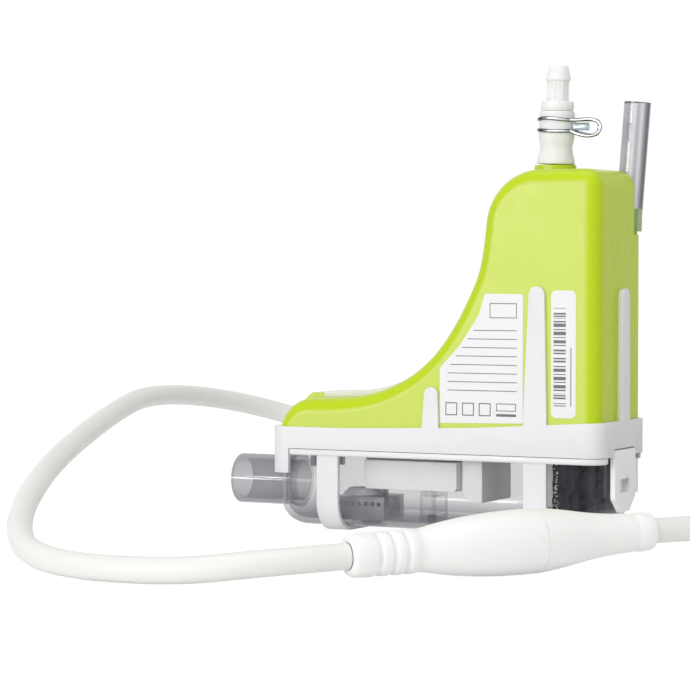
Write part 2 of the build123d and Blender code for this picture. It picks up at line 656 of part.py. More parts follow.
def hose_clip():
    """Double-wire spring clip: two rings, a loop and a thumb tab on the right."""
    ring_radius = 5.5
    low, high = CLIP_WIRES
    clip = Pos(PUMP_X, 0, low) * Torus(ring_radius, 0.6)
    clip = clip + Pos(PUMP_X, 0, high) * Torus(ring_radius, 0.6)
    # the long loop that stands out to the right, of slightly thinner wire
    reach = 12.6
    loop = FilletPolyline(
        [(PUMP_X + ring_radius - 0.15, -1.0, low), (PUMP_X + reach, -2.1, low),
         (PUMP_X + reach, -2.1, high), (PUMP_X + ring_radius - 0.15, -1.0, high)],
        radius=1.5)
    clip = clip + sweep(Plane(origin=loop @ 0, z_dir=loop % 0) * Circle(0.52), path=loop)
    # thumb tab: a short bar across the wires
    clip = clip + block(PUMP_X + 6.8, PUMP_X + 9.4, -2.6, -1.0, low + 0.25, high - 0.9)
    return lean(clip)


def breather_tube():
    """Clear vent tube pushed over the spigot, leaning a little."""
    x, y, z = BREATHER_FOOT
    path = FilletPolyline([(x, y, z), (x + 0.12, y, z + 5), BREATHER_TOP], radius=20)
    start = Plane(origin=path @ 0, z_dir=path % 0)
    outer = sweep(start * Circle(BREATHER_RADIUS), path=path)
    inner = sweep(start * Circle(BREATHER_BORE), path=path)
    return outer - inner


# ---------------------------------------------------------------- electronics
def circuit_board():
    board = block(-45.0, 16.0, -14.0, 9.6, 32.4, 34.0)
    for x in (-42.0, 13.0):
        for y in (-11.5, 7.0):
            board = board - rod(x, y, 30, 36, 1.2)
    return board


def board_posts():
    posts = []
    for x in (-42.0, 13.0):
        for y in (-11.5, 7.0):
            posts.append(rod(x, y, HOUSING_BOTTOM + HOUSING_WALL + 0.02, 32.35, 2.0))
    return Compound(posts)


def relay():
    return block(-8.0, 4.0, -12.0, -2.0, 34.05, 45.0)


def capacitor():
    body = Pos(-20.0, -6.0, 37.2) * Rot(0, 90, 0) * Cylinder(3.1, 12.0)
    return body


def choke():
    """Mains choke: drum core with its winding."""
    return turned([(0, 34.05), (5, 34.05), (5, 35.2), (4.2, 35.2), (4.2, 44.8), (5, 44.8), (5, 46), (0, 46)], 9.5, 2.0)


def terminal_block():
    body = block(-22.0, -2.0, 1.0, 9.4, 34.05, 41.0)
    for i in range(4):
        body = body - rod(-19.4 + i * 5, 5.0, 37.0, 42.0, 1.5)
    return body


def thermal_cutout():
    return block(45.0, 46.6, -4.0, 4.0, 64.0, 78.0)


def hall_sensor():
    return block(8.0, 9.6, -2.0, 2.2, 15.0, 18.6)


# ---------------------------------------------------------------- labels
def rating_label():
    """Blank foil on the front, its left edge cut along the slope."""
    face = make_face(Polyline([
        (30.6, 35.9), (30.6, 75.0), (18.0, 75.0), (16.0, 68.6), (9.6, 59.2), (2.9, 52.2), (2.9, 35.4),
    ], close=True))
    face = fillet(face.vertices().sort_by(Axis.X)[-2:], 0.8)
    return standing(face, -HOUSING_HALF_DEPTH - 0.12, -HOUSING_HALF_DEPTH)


def serial_label():
    face = Rectangle(8.0, 38.2)
    face = fillet(face.vertices(), 1.6)
    face = Pos(43.8, 57.0) * face
    return standing(face, -HOUSING_HALF_DEPTH - 0.12, -HOUSING_HALF_DEPTH)


# ---------------------------------------------------------------- cords
def check_route(name, points, diameter):
    """Arc radii for a route: 0.45 of the shorter run over the tangent of half the turn."""
    radii = []
    for a, b, c in zip(points, points[1:], points[2:]):
        into = Vector(*b) - Vector(*a)
        out = Vector(*c) - Vector(*b)
        turn = into.get_angle(out)
        radius = 0.45 * min(into.length, out.length) / math.tan(math.radians(turn) / 2)
        radii.append(radius)
        print(f"{name}: run {into.length:.1f} turn {turn:.1f} radius {radius:.1f} = {radius / diameter:.1f} d")
    return radii


def cord_tube(name, points, diameter):
    path = FilletPolyline([Vector(*p) for p in points], radius=check_route(name, points, diameter))
    tube = sweep(Plane(origin=path @ 0, z_dir=path % 0) * Circle(diameter / 2), path=path)
    wanted = math.pi * diameter ** 2 / 4 * path.length
    print(f"{name}: length {path.length:.1f}, volume {tube.volume:.0f} of {wanted:.0f}, low {tube.bounding_box().min.Z:.2f}")
    return tube, path.length


def tail_relief():
    """Ribbed rubber strain relief in the gland of the rear cover."""
    x, y, z = TAIL_EXIT
    profile = [
        (0, 14.2), (5.6, 14.2), (5.6, 16.4), (5.0, 16.4), (5.0, 18.6), (6.2, 18.6), (6.2, 20.4), (5.5, 21.2),
        (4.5, 38.4), (4.2, y), (0, y),
    ]
    face = make_face(Polyline([(r, d, 0) for r, d in profile], close=True))
    return Pos(x, 0, z) * revolve(face, Axis.Y)


CONNECTOR_SEAM = 56.0
CONNECTOR_AXIS = Vector(*CONNECTOR_RIGHT) - Vector(*CONNECTOR_LEFT)
CONNECTOR_LENGTH = CONNECTOR_AXIS.length


def on_connector(shape):
    """Move a shape made along +Z from the origin onto the connector's axis."""
    across = Vector(CONNECTOR_AXIS.Y, -CONNECTOR_AXIS.X, 0)
    return Plane(origin=CONNECTOR_LEFT, x_dir=across, z_dir=CONNECTOR_AXIS) * shape


def connector_profile(points, inner):
    """Half-section of a connector shell, smooth between its stations."""
    return make_face(Polyline([(r, 0, s) for r, s in points + inner], close=True))


NOSE_RADIUS = 6.4
NOSE_LENGTH = 14.0


def pin_places():
    return [(2.9 * math.cos(math.radians(45 + 90 * i)), 2.9 * math.sin(math.radians(45 + 90 * i))) for i in range(4)]


def connector_inlet():
    """Tail half: grooved relief, swelling body and a socket for the other half's nose."""
    relief = [
        (0.0, 0.0), (5.0, 0.0), (5.7, 0.8), (5.95, 4.0), (5.95, 7.0), (5.6, 7.4), (5.6, 8.4), (6.0, 8.8),
        (6.0, 11.0), (5.65, 11.4), (5.65, 12.4), (6.05, 12.8), (6.1, 15.0), (5.75, 15.4), (5.75, 16.4),
        (6.15, 16.8), (6.15, 18.8), (5.75, 20.8),
    ]
    swell = [(6.3, 23.5), (6.9, 26.5), (7.7, 32.0), (8.3, 38.0), (8.7, 43.0), (8.88, 48.0), (8.88, 54.8), (8.6, CONNECTOR_SEAM)]
    inner = [(NOSE_RADIUS + RUNNING_GAP, CONNECTOR_SEAM), (NOSE_RADIUS + RUNNING_GAP, CONNECTOR_SEAM - NOSE_LENGTH - 0.5),
             (0.0, CONNECTOR_SEAM - NOSE_LENGTH - 0.5)]
    body = revolve(connector_profile(relief + swell, inner), Axis.Z)
    for x, y in pin_places():
        body = body - Pos(x, y, CONNECTOR_SEAM - NOSE_LENGTH - 1) * Cylinder(0.9, 8)
    return on_connector(body)


def inlet_pins():
    """Four round pins, shrouded by the tail half."""
    pins = []
    for x, y in pin_places():
        base = CONNECTOR_SEAM - NOSE_LENGTH - 4.9
        pins.append(Pos(x, y, base + 7.7) * Cylinder(0.9, 15.4))
    return on_connector(Compound(pins))


def connector_socket():
    """Lead half: nose with four sleeves, tapering body and relief."""
    s = CONNECTOR_SEAM
    outer = [
        (0.0, s - NOSE_LENGTH), (NOSE_RADIUS - 0.5, s - NOSE_LENGTH), (NOSE_RADIUS, s - NOSE_LENGTH + 0.5),
        (NOSE_RADIUS, s + 0.15), (8.6, s + 0.15), (8.8, s + 0.8), (8.45, 61.0), (7.9, 65.0), (6.85, 70.0), (6.0, 76.0),
        (5.55, 81.0), (5.4, 85.5), (5.15, 85.9), (5.15, 86.7), (5.4, 87.1), (5.4, 90.6), (4.6, CONNECTOR_LENGTH),
        (0.0, CONNECTOR_LENGTH),
    ]
    body = revolve(make_face(Polyline([(r, 0, z) for r, z in outer], close=True)), Axis.Z)
    for x, y in pin_places():
        body = body - Pos(x, y, s - NOSE_LENGTH / 2) * Cylinder(1.45, NOSE_LENGTH + 2)
    return on_connector(body)


def socket_contacts():
    """Sprung brass sleeves in the nose."""
    sleeves = []
    for x, y in pin_places():
        sleeve = Cylinder(1.42, 12.4) - Cylinder(0.9 + RUNNING_GAP, 14)
        sleeves.append(Pos(x, y, CONNECTOR_SEAM - NOSE_LENGTH + 6.8) * sleeve)
    return on_connector(Compound(sleeves))


def coil_section():
    """Rest of the lead, wound flat: one closed ring of the coil's outer shape."""
    turns_per_layer = 2
    inner_turn = COIL_OUTER_TURN - turns_per_layer * COIL_PITCH
    half = LEAD_DIAMETER / 2
    height = (COIL_LAYERS - 1) * COIL_PITCH + LEAD_DIAMETER
    ring = Cylinder(COIL_OUTER_TURN + half, height) - Cylinder(inner_turn - half, height + 2)
    centre_z = LEAD_ROUTE[-1][2] - half + height / 2
    return Pos(COIL_CENTRE[0], COIL_CENTRE[1], centre_z) * ring


LEAD_END = (COIL_CENTRE[0] + COIL_OUTER_TURN - 2 * COIL_PITCH, COIL_CENTRE[1], 25.0)
LEAD_END_LENGTH = 14.0
CORE_LENGTH = 22.0
FERRULE_LENGTH = 8.0
CORE_RADIUS = 1.15
FERRULE_RADIUS = 0.8


def lead_end():
    """Last bit of the lead, lying on top of the coil."""
    x, y, z = LEAD_END
    return along_y(x, y, y + LEAD_END_LENGTH, z, LEAD_DIAMETER / 2)


def lead_cores():
    """Four stripped cores at the free end, fanned out over the coil, and their ferrules."""
    cores = []
    ferrules = []
    x, y, z = LEAD_END
    for i in range(4):
        side = i - 1.5
        start = Vector(x + 1.35 * (1 if side > 0 else -1), y + LEAD_END_LENGTH, z + 1.35 * (-1) ** i)
        sweepy = Vector(0.2 * side, 1.0, -0.04 * (-1) ** i).normalized()
        middle = start + sweepy * CORE_LENGTH
        cores.append(straight_rod(start, middle, CORE_RADIUS))
        ferrules.append(straight_rod(middle, middle + sweepy * FERRULE_LENGTH, FERRULE_RADIUS))
    return Compound(cores), Compound(ferrules)


def straight_rod(start, end, radius):
    """A round rod between two points."""
    run = Line(start, end)
    return sweep(Plane(origin=run @ 0, z_dir=run % 0) * Circle(radius), path=run)


def main():
    save("housing_shell", front_shell())
    save("rear_cover", back_cover())
    save("cover_screws", cover_screws())
    save("isolation_frame", isolation_frame())
    save("deck_plate", deck_plate())
    save("deck_screws", deck_screws())
    save("sensor_pod", sensor_pod())
    save("hall_sensor", hall_sensor())
    save("reservoir_tank", reservoir_tank())
    save("reservoir_cradle", reservoir_cradle())
    save("reservoir_gasket", reservoir_gasket())
    save("strainer_basket", strainer())
    save("strainer_hood", strainer_cone())
    save("foam_block", foam_block())
    save("float_guide", float_guide())
    save("sensor_float", sensor_float())
    save("float_magnet", rod(0.0, 0.0, FLOAT_TOP - 3.18, FLOAT_TOP - 0.2, 3.0))
    save("drain_plug", drain_plug())
    save("latch_strap", latch_strap())
    save("coil_yoke", yoke())
    save("coil_bobbin", bobbin())
    save("coil_winding", coil_winding())
    save("pump_cylinder", cylinder())
    save("inlet_tube", inlet_tube())
    save("inlet_filter", inlet_filter())
    save("outlet_head", outlet_head())
    save("inlet_valve", valve(43.1))
    save("outlet_valve", valve(98.3))
    save("inlet_valve_spring", spring(PUMP_X, 44.2, 50.9, 2.0, 0.5, 4))
    save("outlet_valve_spring", spring(PUMP_X, 99.4, 106.0, 2.0, 0.5, 4))
    save("piston", piston())
    save("piston_ring", piston_ring())
    save("lower_spring", spring(PUMP_X, 54.1, 61.9, 2.6, 0.7, 4))
    save("upper_spring", spring(PUMP_X, 82.1, 96.0, 2.6, 0.7, 6))
    save("pump_bracket", pump_bracket())
    save("rubber_feet", rubber_feet())
    save("outlet_hose", outlet_hose())
    save("outlet_adaptor", outlet_adaptor())
    save("hose_clip", hose_clip())
    save("breather_tube", breather_tube())
    save("circuit_board", circuit_board())
    save("board_posts", board_posts())
    save("alarm_relay", relay())
    save("capacitor", capacitor())
    save("mains_choke", choke())
    save("terminal_block", terminal_block())
    save("thermal_cutout", thermal_cutout())
    save("rating_label", rating_label())
    save("serial_label", serial_label())
    save("tail_relief", tail_relief())
    tail, tail_length = cord_tube("tail", TAIL_ROUTE, TAIL_DIAMETER)
    save("pump_tail", tail)
    save("connector_inlet", connector_inlet())
    save("inlet_pins", inlet_pins())
    save("connector_socket", connector_socket())
    save("socket_contacts", socket_contacts())
    lead, lead_length = cord_tube("lead", LEAD_ROUTE, LEAD_DIAMETER)
    save("mains_lead", lead)
    save("lead_coil", coil_section())
    save("lead_end", lead_end())
    cores, ferrules = lead_cores()
    save("lead_cores", cores)
    save("core_ferrules", ferrules)


main()
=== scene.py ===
import math

import bpy
from mathutils import Matrix, Vector


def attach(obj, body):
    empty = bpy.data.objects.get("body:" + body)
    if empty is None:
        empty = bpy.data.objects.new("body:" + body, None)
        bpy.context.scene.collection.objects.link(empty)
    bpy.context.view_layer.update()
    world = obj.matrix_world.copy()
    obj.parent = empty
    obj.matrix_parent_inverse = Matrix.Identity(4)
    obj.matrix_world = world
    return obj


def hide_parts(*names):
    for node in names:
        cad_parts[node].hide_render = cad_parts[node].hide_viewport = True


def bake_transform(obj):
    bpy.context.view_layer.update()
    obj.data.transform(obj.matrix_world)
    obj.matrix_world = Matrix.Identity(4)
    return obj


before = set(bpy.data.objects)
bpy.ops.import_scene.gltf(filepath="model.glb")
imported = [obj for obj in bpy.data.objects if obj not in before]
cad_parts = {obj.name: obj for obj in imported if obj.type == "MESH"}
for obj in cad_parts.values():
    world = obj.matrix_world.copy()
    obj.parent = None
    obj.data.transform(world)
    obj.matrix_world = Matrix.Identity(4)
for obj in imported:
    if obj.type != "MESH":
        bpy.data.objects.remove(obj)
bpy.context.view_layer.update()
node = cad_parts


# ------------------------------------------------------------------ camera
# A long lens a little above the bench, looking at the front and the latch end of the pump.
bpy.ops.object.select_all(action="DESELECT")
bpy.ops.object.camera_add(
    location=(0.3562033, -0.7601868, 0.0846337),
    rotation=(math.radians(90 - 1.7719), 0, math.radians(27.5)),
)
camera = bpy.context.object
camera.data.lens = 139.98
camera.data.sensor_width = 36.0
camera.data.clip_start = 0.02
camera.data.clip_end = 30.0
bpy.context.scene.camera = camera


# ------------------------------------------------------------------ pump tail
# Four-core flex in an off-white PVC sheath, moulded into the strain relief at the back of the pump.
# It swings out round the inlet end, turns close to the bench and runs into the inline connector.


class Wire:
    """A socket of a material's node tree that can be reckoned with like a number."""

    def __init__(self, tree, socket):
        self.tree = tree
        self.socket = socket

    def maths(self, operation, *others):
        step = self.tree.nodes.new("ShaderNodeMath")
        step.operation = operation
        for place, value in enumerate((self, *others)):
            if isinstance(value, Wire):
                self.tree.links.new(value.socket, step.inputs[place])
            else:
                step.inputs[place].default_value = value
        return Wire(self.tree, step.outputs[0])

    def flipped(self, operation, other):
        step = self.tree.nodes.new("ShaderNodeMath")
        step.operation = operation
        step.inputs[0].default_value = other
        self.tree.links.new(self.socket, step.inputs[1])
        return Wire(self.tree, step.outputs[0])

    def __add__(self, other):
        return self.maths("ADD", other)

    def __sub__(self, other):
        return self.maths("SUBTRACT", other)

    def __mul__(self, other):
        return self.maths("MULTIPLY", other)

    def __rsub__(self, other):
        return self.flipped("SUBTRACT", other)

    def over(self, edge):
        return self.maths("GREATER_THAN", edge)

    def under(self, edge):
        return self.maths("LESS_THAN", edge)

    def clamped(self):
        return self.maths("MAXIMUM", 0.0).maths("MINIMUM", 1.0)

    __radd__ = __add__
    __rmul__ = __mul__


class Finish:
    """One material: its Principled shader and the nodes that feed it."""

    def __init__(self, name, colour, **plain):
        self.material = bpy.data.materials.new(name)
        self.material.use_nodes = True
        self.tree = self.material.node_tree
        self.shader = self.tree.nodes["Principled BSDF"]
        self.shader.inputs["Base Color"].default_value = (*colour, 1.0)
        self.material.diffuse_color = (*colour, 1.0)
        for socket, value in plain.items():
            self.shader.inputs[socket.replace("_", " ")].default_value = value
        self.place = self.node("ShaderNodeTexCoord", output="Object")

    def node(self, kind, output=0, settings=None, stops=None, **sockets):
        """Any other node: its settings first, then the values or links of its sockets."""
        made = self.tree.nodes.new(kind)
        for name, value in (settings or {}).items():
            setattr(made, name, value)
        for at, colour in stops or []:
            stop = made.color_ramp.elements.new(at)
            stop.color = (*colour, 1.0)
        if stops:
            made.color_ramp.elements.remove(made.color_ramp.elements[0])
            made.color_ramp.elements.remove(made.color_ramp.elements[-1])
        for name, value in sockets.items():
            key = int(name[1:]) if name[0] == "_" else name
            if isinstance(value, Wire):
                self.tree.links.new(value.socket, made.inputs[key])
            else:
                made.inputs[key].default_value = value
        return Wire(self.tree, made.outputs[output])

    def axes(self, vector=None):
        """The three numbers of a vector; of the place on the piece where none is given."""
        split = self.node("ShaderNodeSeparateXYZ", _0=vector or self.place).socket.node
        return [Wire(self.tree, axis) for axis in split.outputs]

    def feed(self, socket, wire):
        self.tree.links.new(wire.socket, self.shader.inputs[socket])

    def grain(self, scale, detail=3.0, rough=0.5, where=None):
        """Noise from 0 to 1 on the piece's own coordinates; scale is in waves per metre."""
        return self.node("ShaderNodeTexNoise", output="Fac", Vector=where or self.place,
                         Scale=scale, Detail=detail, Roughness=rough)

    def tint(self, mask, dark, light):
        """Base colour that runs from one colour to another with a mask."""
        self.feed("Base Color", self.node(
            "ShaderNodeMix", output=2, settings={"data_type": "RGBA"},
            _0=mask, _6=(*dark, 1.0), _7=(*light, 1.0)))

    def relief(self, height, distance, strength=1.0):
        """Bump from a height map; distance is the real height in metres."""
        self.feed("Normal", self.node("ShaderNodeBump", Height=height, Distance=distance,
                                      Strength=strength))


cable_sheath = Finish("cable_sheath", (0.74, 0.72, 0.69), Roughness=0.42,
                      Subsurface_Weight=0.12, Subsurface_Radius=(0.003, 0.0026, 0.0022),
                      Subsurface_Scale=1.0)
soft_patch = cable_sheath.grain(38, 4)
cable_sheath.tint(soft_patch, (0.77, 0.755, 0.73), (0.82, 0.81, 0.79))
cable_sheath.feed("Roughness", cable_sheath.grain(160, 3) * 0.16 + 0.34)
cable_sheath.relief(cable_sheath.grain(900, 3) + cable_sheath.grain(110, 2) * 3.0, 0.00004)


def flex(name, points, diameter, steps=10, facets=6, closed=False):
    """A smooth line through the route of a cord or a wire, as a round curve."""
    curve = bpy.data.curves.new(name, "CURVE")
    curve.dimensions = "3D"
    curve.resolution_u = steps
    line = curve.splines.new("NURBS")
    line.points.add(len(points) - 1)
    for point, place in zip(line.points, points):
        point.co = (*place, 1.0)
    line.order_u = 3
    line.use_cyclic_u = closed
    line.use_endpoint_u = not closed
    line.resolution_u = steps
    curve.bevel_depth = diameter / 2
    curve.bevel_resolution = facets
    curve.use_fill_caps = not closed
    cord = bpy.data.objects.new(name, curve)
    bpy.context.scene.collection.objects.link(cord)
    return cord


def picked(piece):
    """Leaves one piece selected and active, for the operators that follow."""
    bpy.ops.object.select_all(action="DESELECT")
    piece.select_set(True)
    bpy.context.view_layer.objects.active = piece


def as_mesh(cord, angle):
    """A curve made the mesh that it shows, smooth up to an angle in degrees."""
    picked(cord)
    bpy.ops.object.convert(target="MESH")
    bpy.ops.object.shade_smooth_by_angle(angle=math.radians(angle))
    return bpy.context.object


def line_of(cord):
    """The points along a cord's own line."""
    bare = cord.data.copy()
    bare.bevel_depth = 0.0
    probe = bpy.data.objects.new("probe", bare)
    bpy.context.scene.collection.objects.link(probe)
    bpy.context.view_layer.update()
    mesh = bpy.data.meshes.new_from_object(probe.evaluated_get(bpy.context.evaluated_depsgraph_get()))
    points = [v.co.copy() for v in mesh.vertices]
    bpy.data.objects.remove(probe)
    bpy.data.meshes.remove(mesh)
    return points


tail_route = [
    (-0.0080, 0.0390, 0.0380),
    (-0.0080, 0.0840, 0.0380),
    (-0.0580, 0.1400, 0.0260),
    (-0.1180, 0.1510, 0.0196),
    (-0.1500, 0.1270, 0.0320),
    (-0.1510, 0.0640, 0.0380),
    (-0.1310, 0.0040, 0.0335),
    (-0.0990, -0.0820, 0.0228),
    (-0.0785, -0.1290, 0.0103),
    (-0.0510, -0.1600, 0.0038),
    (-0.0050, -0.1665, 0.0040),
    (0.01873, -0.15711, 0.00692),
    (0.0331, -0.1384, 0.0076),
]
tail_diameter = 0.0072
pump_tail = flex("tail_flex", tail_route, tail_diameter)
tail_line = line_of(pump_tail)
pump_tail = as_mesh(pump_tail, 40)
pump_tail.data.materials.append(cable_sheath.material)
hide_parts("pump_tail")


# ------------------------------------------------------------------ mains lead
# The same flex, a touch slimmer, from the connector to the mains. The length that isn't in use
# is wound up flat beside the pump: two turns in, two out and two in again, in three layers.
lead_route = [
    (0.0898, -0.0646, 0.0103),
    (0.10302, -0.0474, 0.01093),
    (0.1240, -0.0260, 0.0070),
    (0.1465, 0.0020, 0.0038),
    (0.1550, 0.0200, 0.0036),
    (0.1568, 0.0335, 0.0036),
]
lead_diameter = 0.0070
coil_x, coil_y = 0.1135, 0.0520
outer_turn = 0.0430
two_turns = 0.0144
layer_step = 0.0072
points_in_turn = 16
drawn_in = 0.9904  # the smooth line runs a little inside its points
for step in range(6 * points_in_turn):
    turned = step / points_in_turn
    layer = int(turned / 2)
    part = (turned - 2 * layer) / 2
    inward = part if layer != 1 else 1 - part
    radius = (outer_turn - two_turns * inward) / drawn_in
    climb = max(0.0, part * 16 - 14.0) / 2 if layer < 2 else 0.0  # in the last quarter turn
    height = layer_step / 2 + layer_step * (layer + climb)
    angle = 2 * math.pi * turned
    lead_route.append((coil_x + radius * math.cos(angle), coil_y + radius * math.sin(angle), height))
lead_route += [(0.1421, 0.0500, 0.0238), (0.1421, 0.0570, 0.0250), (0.1421, 0.0660, 0.0250)]
mains_lead = flex("lead_flex", lead_route, lead_diameter)
mains_lead.data.materials.append(cable_sheath.material)
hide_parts("mains_lead", "lead_coil", "lead_end")
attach(mains_lead, "lead")


# ------------------------------------------------------------------ reservoir
# One clear tub of smoke-grey styrene-acrylic, glossy on both sides, with a spigot for the
# rubber inlet elbow and a catch block for the latch. Edges look denser. The back wall and the inlet
# end are darker and more opaque, and the foot more opaque towards the floor: painted shade.
smoky = Finish("smoky_clear", (0.30, 0.295, 0.34), Roughness=0.07, IOR=1.8, Specular_IOR_Level=0.8)
edge_on = smoky.node("ShaderNodeLayerWeight", output="Facing", Blend=0.30)
x, y, z = smoky.axes()
# Painted shade: the back wall and the inlet end get a dark colour and are more opaque, and the foot grows
# more opaque near the floor.
shaded_back_wall = y.over(0.015)
shaded_inlet_end = x.under(-0.0520)
on_spigot = x.under(-0.0552)
shaded_foot = (0.009 - z).maths("MAXIMUM", 0.0) * 40.0
in_shadow = smoky.node("ShaderNodeLightPath", output="Is Shadow Ray")
density_and_shade = edge_on * 0.62 + shaded_back_wall * 0.30 + shaded_inlet_end * 0.10 + on_spigot * 0.28 + shaded_foot + 0.02
smoky.feed("Alpha", density_and_shade * (1.0 - in_shadow * 0.95))
# The dark colour of the back wall and the inlet end, left off the spigot, is painted shade.
painted_shade = shaded_back_wall.maths("MAXIMUM", shaded_inlet_end - on_spigot * 0.8)
smoky.tint(painted_shade, (0.12, 0.112, 0.15), (0.40, 0.39, 0.45))
smoky.feed("Roughness", smoky.grain(90, 2) * 0.10 + 0.03)
smoky.relief(smoky.grain(28, 1), 0.0006)


def finished(finish, *names):
    """Gives CAD nodes their material."""
    for name in names:
        node[name].data.materials.clear()
        node[name].data.materials.append(finish.material)


finished(smoky, "reservoir_tank")


# ------------------------------------------------------------------ strainer basket, hood and float rail
# Lilac-grey polypropylene basket pressed on the floor of the tub to catch slime, with a low
# frosted hood over it. The rail that the float slides on is of the same clear plastic as the tub.
frosted = Finish("frosted_plastic", (0.78, 0.78, 0.81), Roughness=0.5, Subsurface_Weight=0.2,
                 Subsurface_Radius=(0.003, 0.003, 0.003), Subsurface_Scale=1.0)
frosted.tint(frosted.grain(300, 3), (0.70, 0.70, 0.74), (0.84, 0.84, 0.86))
frosted.relief(frosted.grain(1400, 2), 0.00003)
finished(frosted, "strainer_hood")
lilac = Finish("lilac_plastic", (0.38, 0.37, 0.42), Roughness=0.4)
lilac.tint(lilac.grain(260, 3), (0.50, 0.49, 0.54), (0.60, 0.59, 0.64))
lilac.feed("Alpha", lilac.grain(120, 2) * 0.1 + 0.42)
lilac.relief(lilac.grain(1400, 2), 0.00003)
finished(lilac, "strainer_basket")
finished(smoky, "float_guide")


# ------------------------------------------------------------------ float with its magnet
# Closed-cell foam block in a thin white skin, with a magnet pressed into a pocket on top. It
# rises with the water and the magnet wakes the level sensor in the pod above.
merge_distance = 0.000004


def loose_copy(name, title):
    """A copy of a CAD moulding, with the doubled points of its triangles merged."""
    piece = bpy.data.objects.new(title, node[name].data.copy())
    bpy.context.scene.collection.objects.link(piece)
    picked(piece)
    bpy.ops.mesh.customdata_custom_splitnormals_clear()
    bpy.ops.object.mode_set(mode="EDIT")
    bpy.ops.mesh.select_all(action="SELECT")
    bpy.ops.mesh.remove_doubles(threshold=merge_distance)
    bpy.ops.object.mode_set(mode="OBJECT")
    return piece


def eased(piece, width, segments, angle):
    """Rounds over the edges that turn by more than an angle in degrees."""
    bpy.context.view_layer.objects.active = piece
    edge = piece.modifiers.new("edge", "BEVEL")
    edge.width = width
    edge.segments = segments
    edge.limit_method = "ANGLE"
    edge.angle_limit = math.radians(angle)
    bpy.ops.object.modifier_apply(modifier="edge")


def dress(piece, finish, body, *names):
    """Gives a new piece its material, the body it rides on and the CAD nodes it stands for."""
    piece.data.materials.clear()
    piece.data.materials.append(finish.material)
    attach(piece, body)
    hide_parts(*names)


def softened(name, width, body, finish, segments=2):
    """A copy of a CAD moulding with its sharp edges rounded over, which then stands for it."""
    piece = loose_copy(name, "soft_" + name)
    bpy.ops.object.mode_set(mode="EDIT")
    bpy.ops.mesh.select_all(action="SELECT")
    bpy.ops.mesh.tris_convert_to_quads(face_threshold=math.radians(1), shape_threshold=math.radians(180))
    bpy.ops.object.mode_set(mode="OBJECT")
    eased(piece, width, segments, 38)
    bpy.ops.object.shade_smooth_by_angle(angle=math.radians(32))
    dress(piece, finish, body, name)


float_skin = Finish("float_skin", (0.86, 0.86, 0.88), Roughness=0.42)
float_skin.tint(float_skin.grain(240, 4), (0.90, 0.90, 0.92), (0.95, 0.95, 0.96))
float_skin.relief(float_skin.grain(700, 3), 0.00006)
softened("sensor_float", 0.0007, "float", float_skin, segments=3)
magnet_black = Finish("magnet_black", (0.035, 0.035, 0.04), Roughness=0.45)
magnet_black.relief(magnet_black.grain(2200, 3), 0.00003)
finished(magnet_black, "float_magnet", "drain_plug")


# ------------------------------------------------------------------ noise-damping foam
# Open-cell black polyether sponge, cut from sheet and pushed into the latch end of the tub. Pale
# flecks all over are painted highlights, thickest along the cut face towards the float.
foam = loose_copy("foam_block", "sponge")
cells = foam.modifiers.new("cells", "REMESH")
cells.mode = "VOXEL"
cells.voxel_size = 0.0006
bpy.ops.object.modifier_apply(modifier="cells")
pores = bpy.data.textures.new("pores", "VORONOI")
pores.noise_scale = 0.0019
pores.noise_intensity = 1.0
pitted = foam.modifiers.new("pitted", "DISPLACE")
pitted.texture = pores
pitted.texture_coords = "LOCAL"
pitted.mid_level = 1.0
pitted.strength = 0.0007
bpy.ops.object.modifier_apply(modifier="pitted")
bpy.ops.object.shade_smooth_by_angle(angle=math.radians(60))
black_foam = Finish("black_foam", (0.022, 0.022, 0.028), Roughness=0.9, Specular_IOR_Level=0.1)
cell_walls = black_foam.node("ShaderNodeTexVoronoi", output="Distance", Vector=black_foam.place,
                             Scale=620.0)
# Painted highlights: pale flecks of random noise, more of them near the face towards the float.
glints_near_cut = (0.0408 - black_foam.axes()[0]) * 210.0
painted_glints = (black_foam.grain(1500, 2) + glints_near_cut.maths("MINIMUM", 0.16)).over(0.72)
black_foam.tint((cell_walls * 0.07 + painted_glints).maths("MINIMUM", 1.0),
                (0.006, 0.006, 0.009), (0.46, 0.46, 0.47))
black_foam.relief(cell_walls, 0.0004)
dress(foam, black_foam, "reservoir", "foam_block")


# ------------------------------------------------------------------ cradle
# Glossy white carrier under the jacket: a rim that the tub hangs in and two straps with large
# rounded corners that the pump stands on.
white_plastic = Finish("white_plastic", (0.83, 0.83, 0.845), Roughness=0.34)
white_plastic.tint(white_plastic.grain(60, 3), (0.745, 0.745, 0.76), (0.775, 0.775, 0.788))
white_plastic.feed("Roughness", white_plastic.grain(260, 3) * 0.12 + 0.28)
white_plastic.relief(white_plastic.grain(1800, 2), 0.000012)
softened("reservoir_cradle", 0.00025, "reservoir", white_plastic)


# ------------------------------------------------------------------ deck, its screws and the sensor pod
# White lid of the tub, screwed up against the housing floor, with a closed pocket hanging from
# it that keeps the level sensor dry. A flat black seal lies between the lid and the tub.
softened("deck_plate", 0.0002, "pump_unit", white_plastic)
pod_white = Finish("pod_white", (0.92, 0.92, 0.94), Roughness=0.38)
pod_white.tint(pod_white.grain(80, 3), (0.91, 0.91, 0.93), (0.95, 0.95, 0.96))
pod_white.relief(pod_white.grain(1800, 2), 0.000012)
softened("sensor_pod", 0.0004, "pump_unit", pod_white)
plated = Finish("plated_steel", (0.66, 0.66, 0.68), Roughness=0.28, Metallic=1.0)
plated.feed("Roughness", plated.grain(900, 3) * 0.2 + 0.2)
plated.tint(plated.grain(500, 2), (0.58, 0.58, 0.60), (0.74, 0.74, 0.75))
plated.relief(plated.grain(3000, 2), 0.00001)
finished(plated, "deck_screws", "cover_screws")
seal_rubber = Finish("black_rubber", (0.03, 0.03, 0.032), Roughness=0.6)
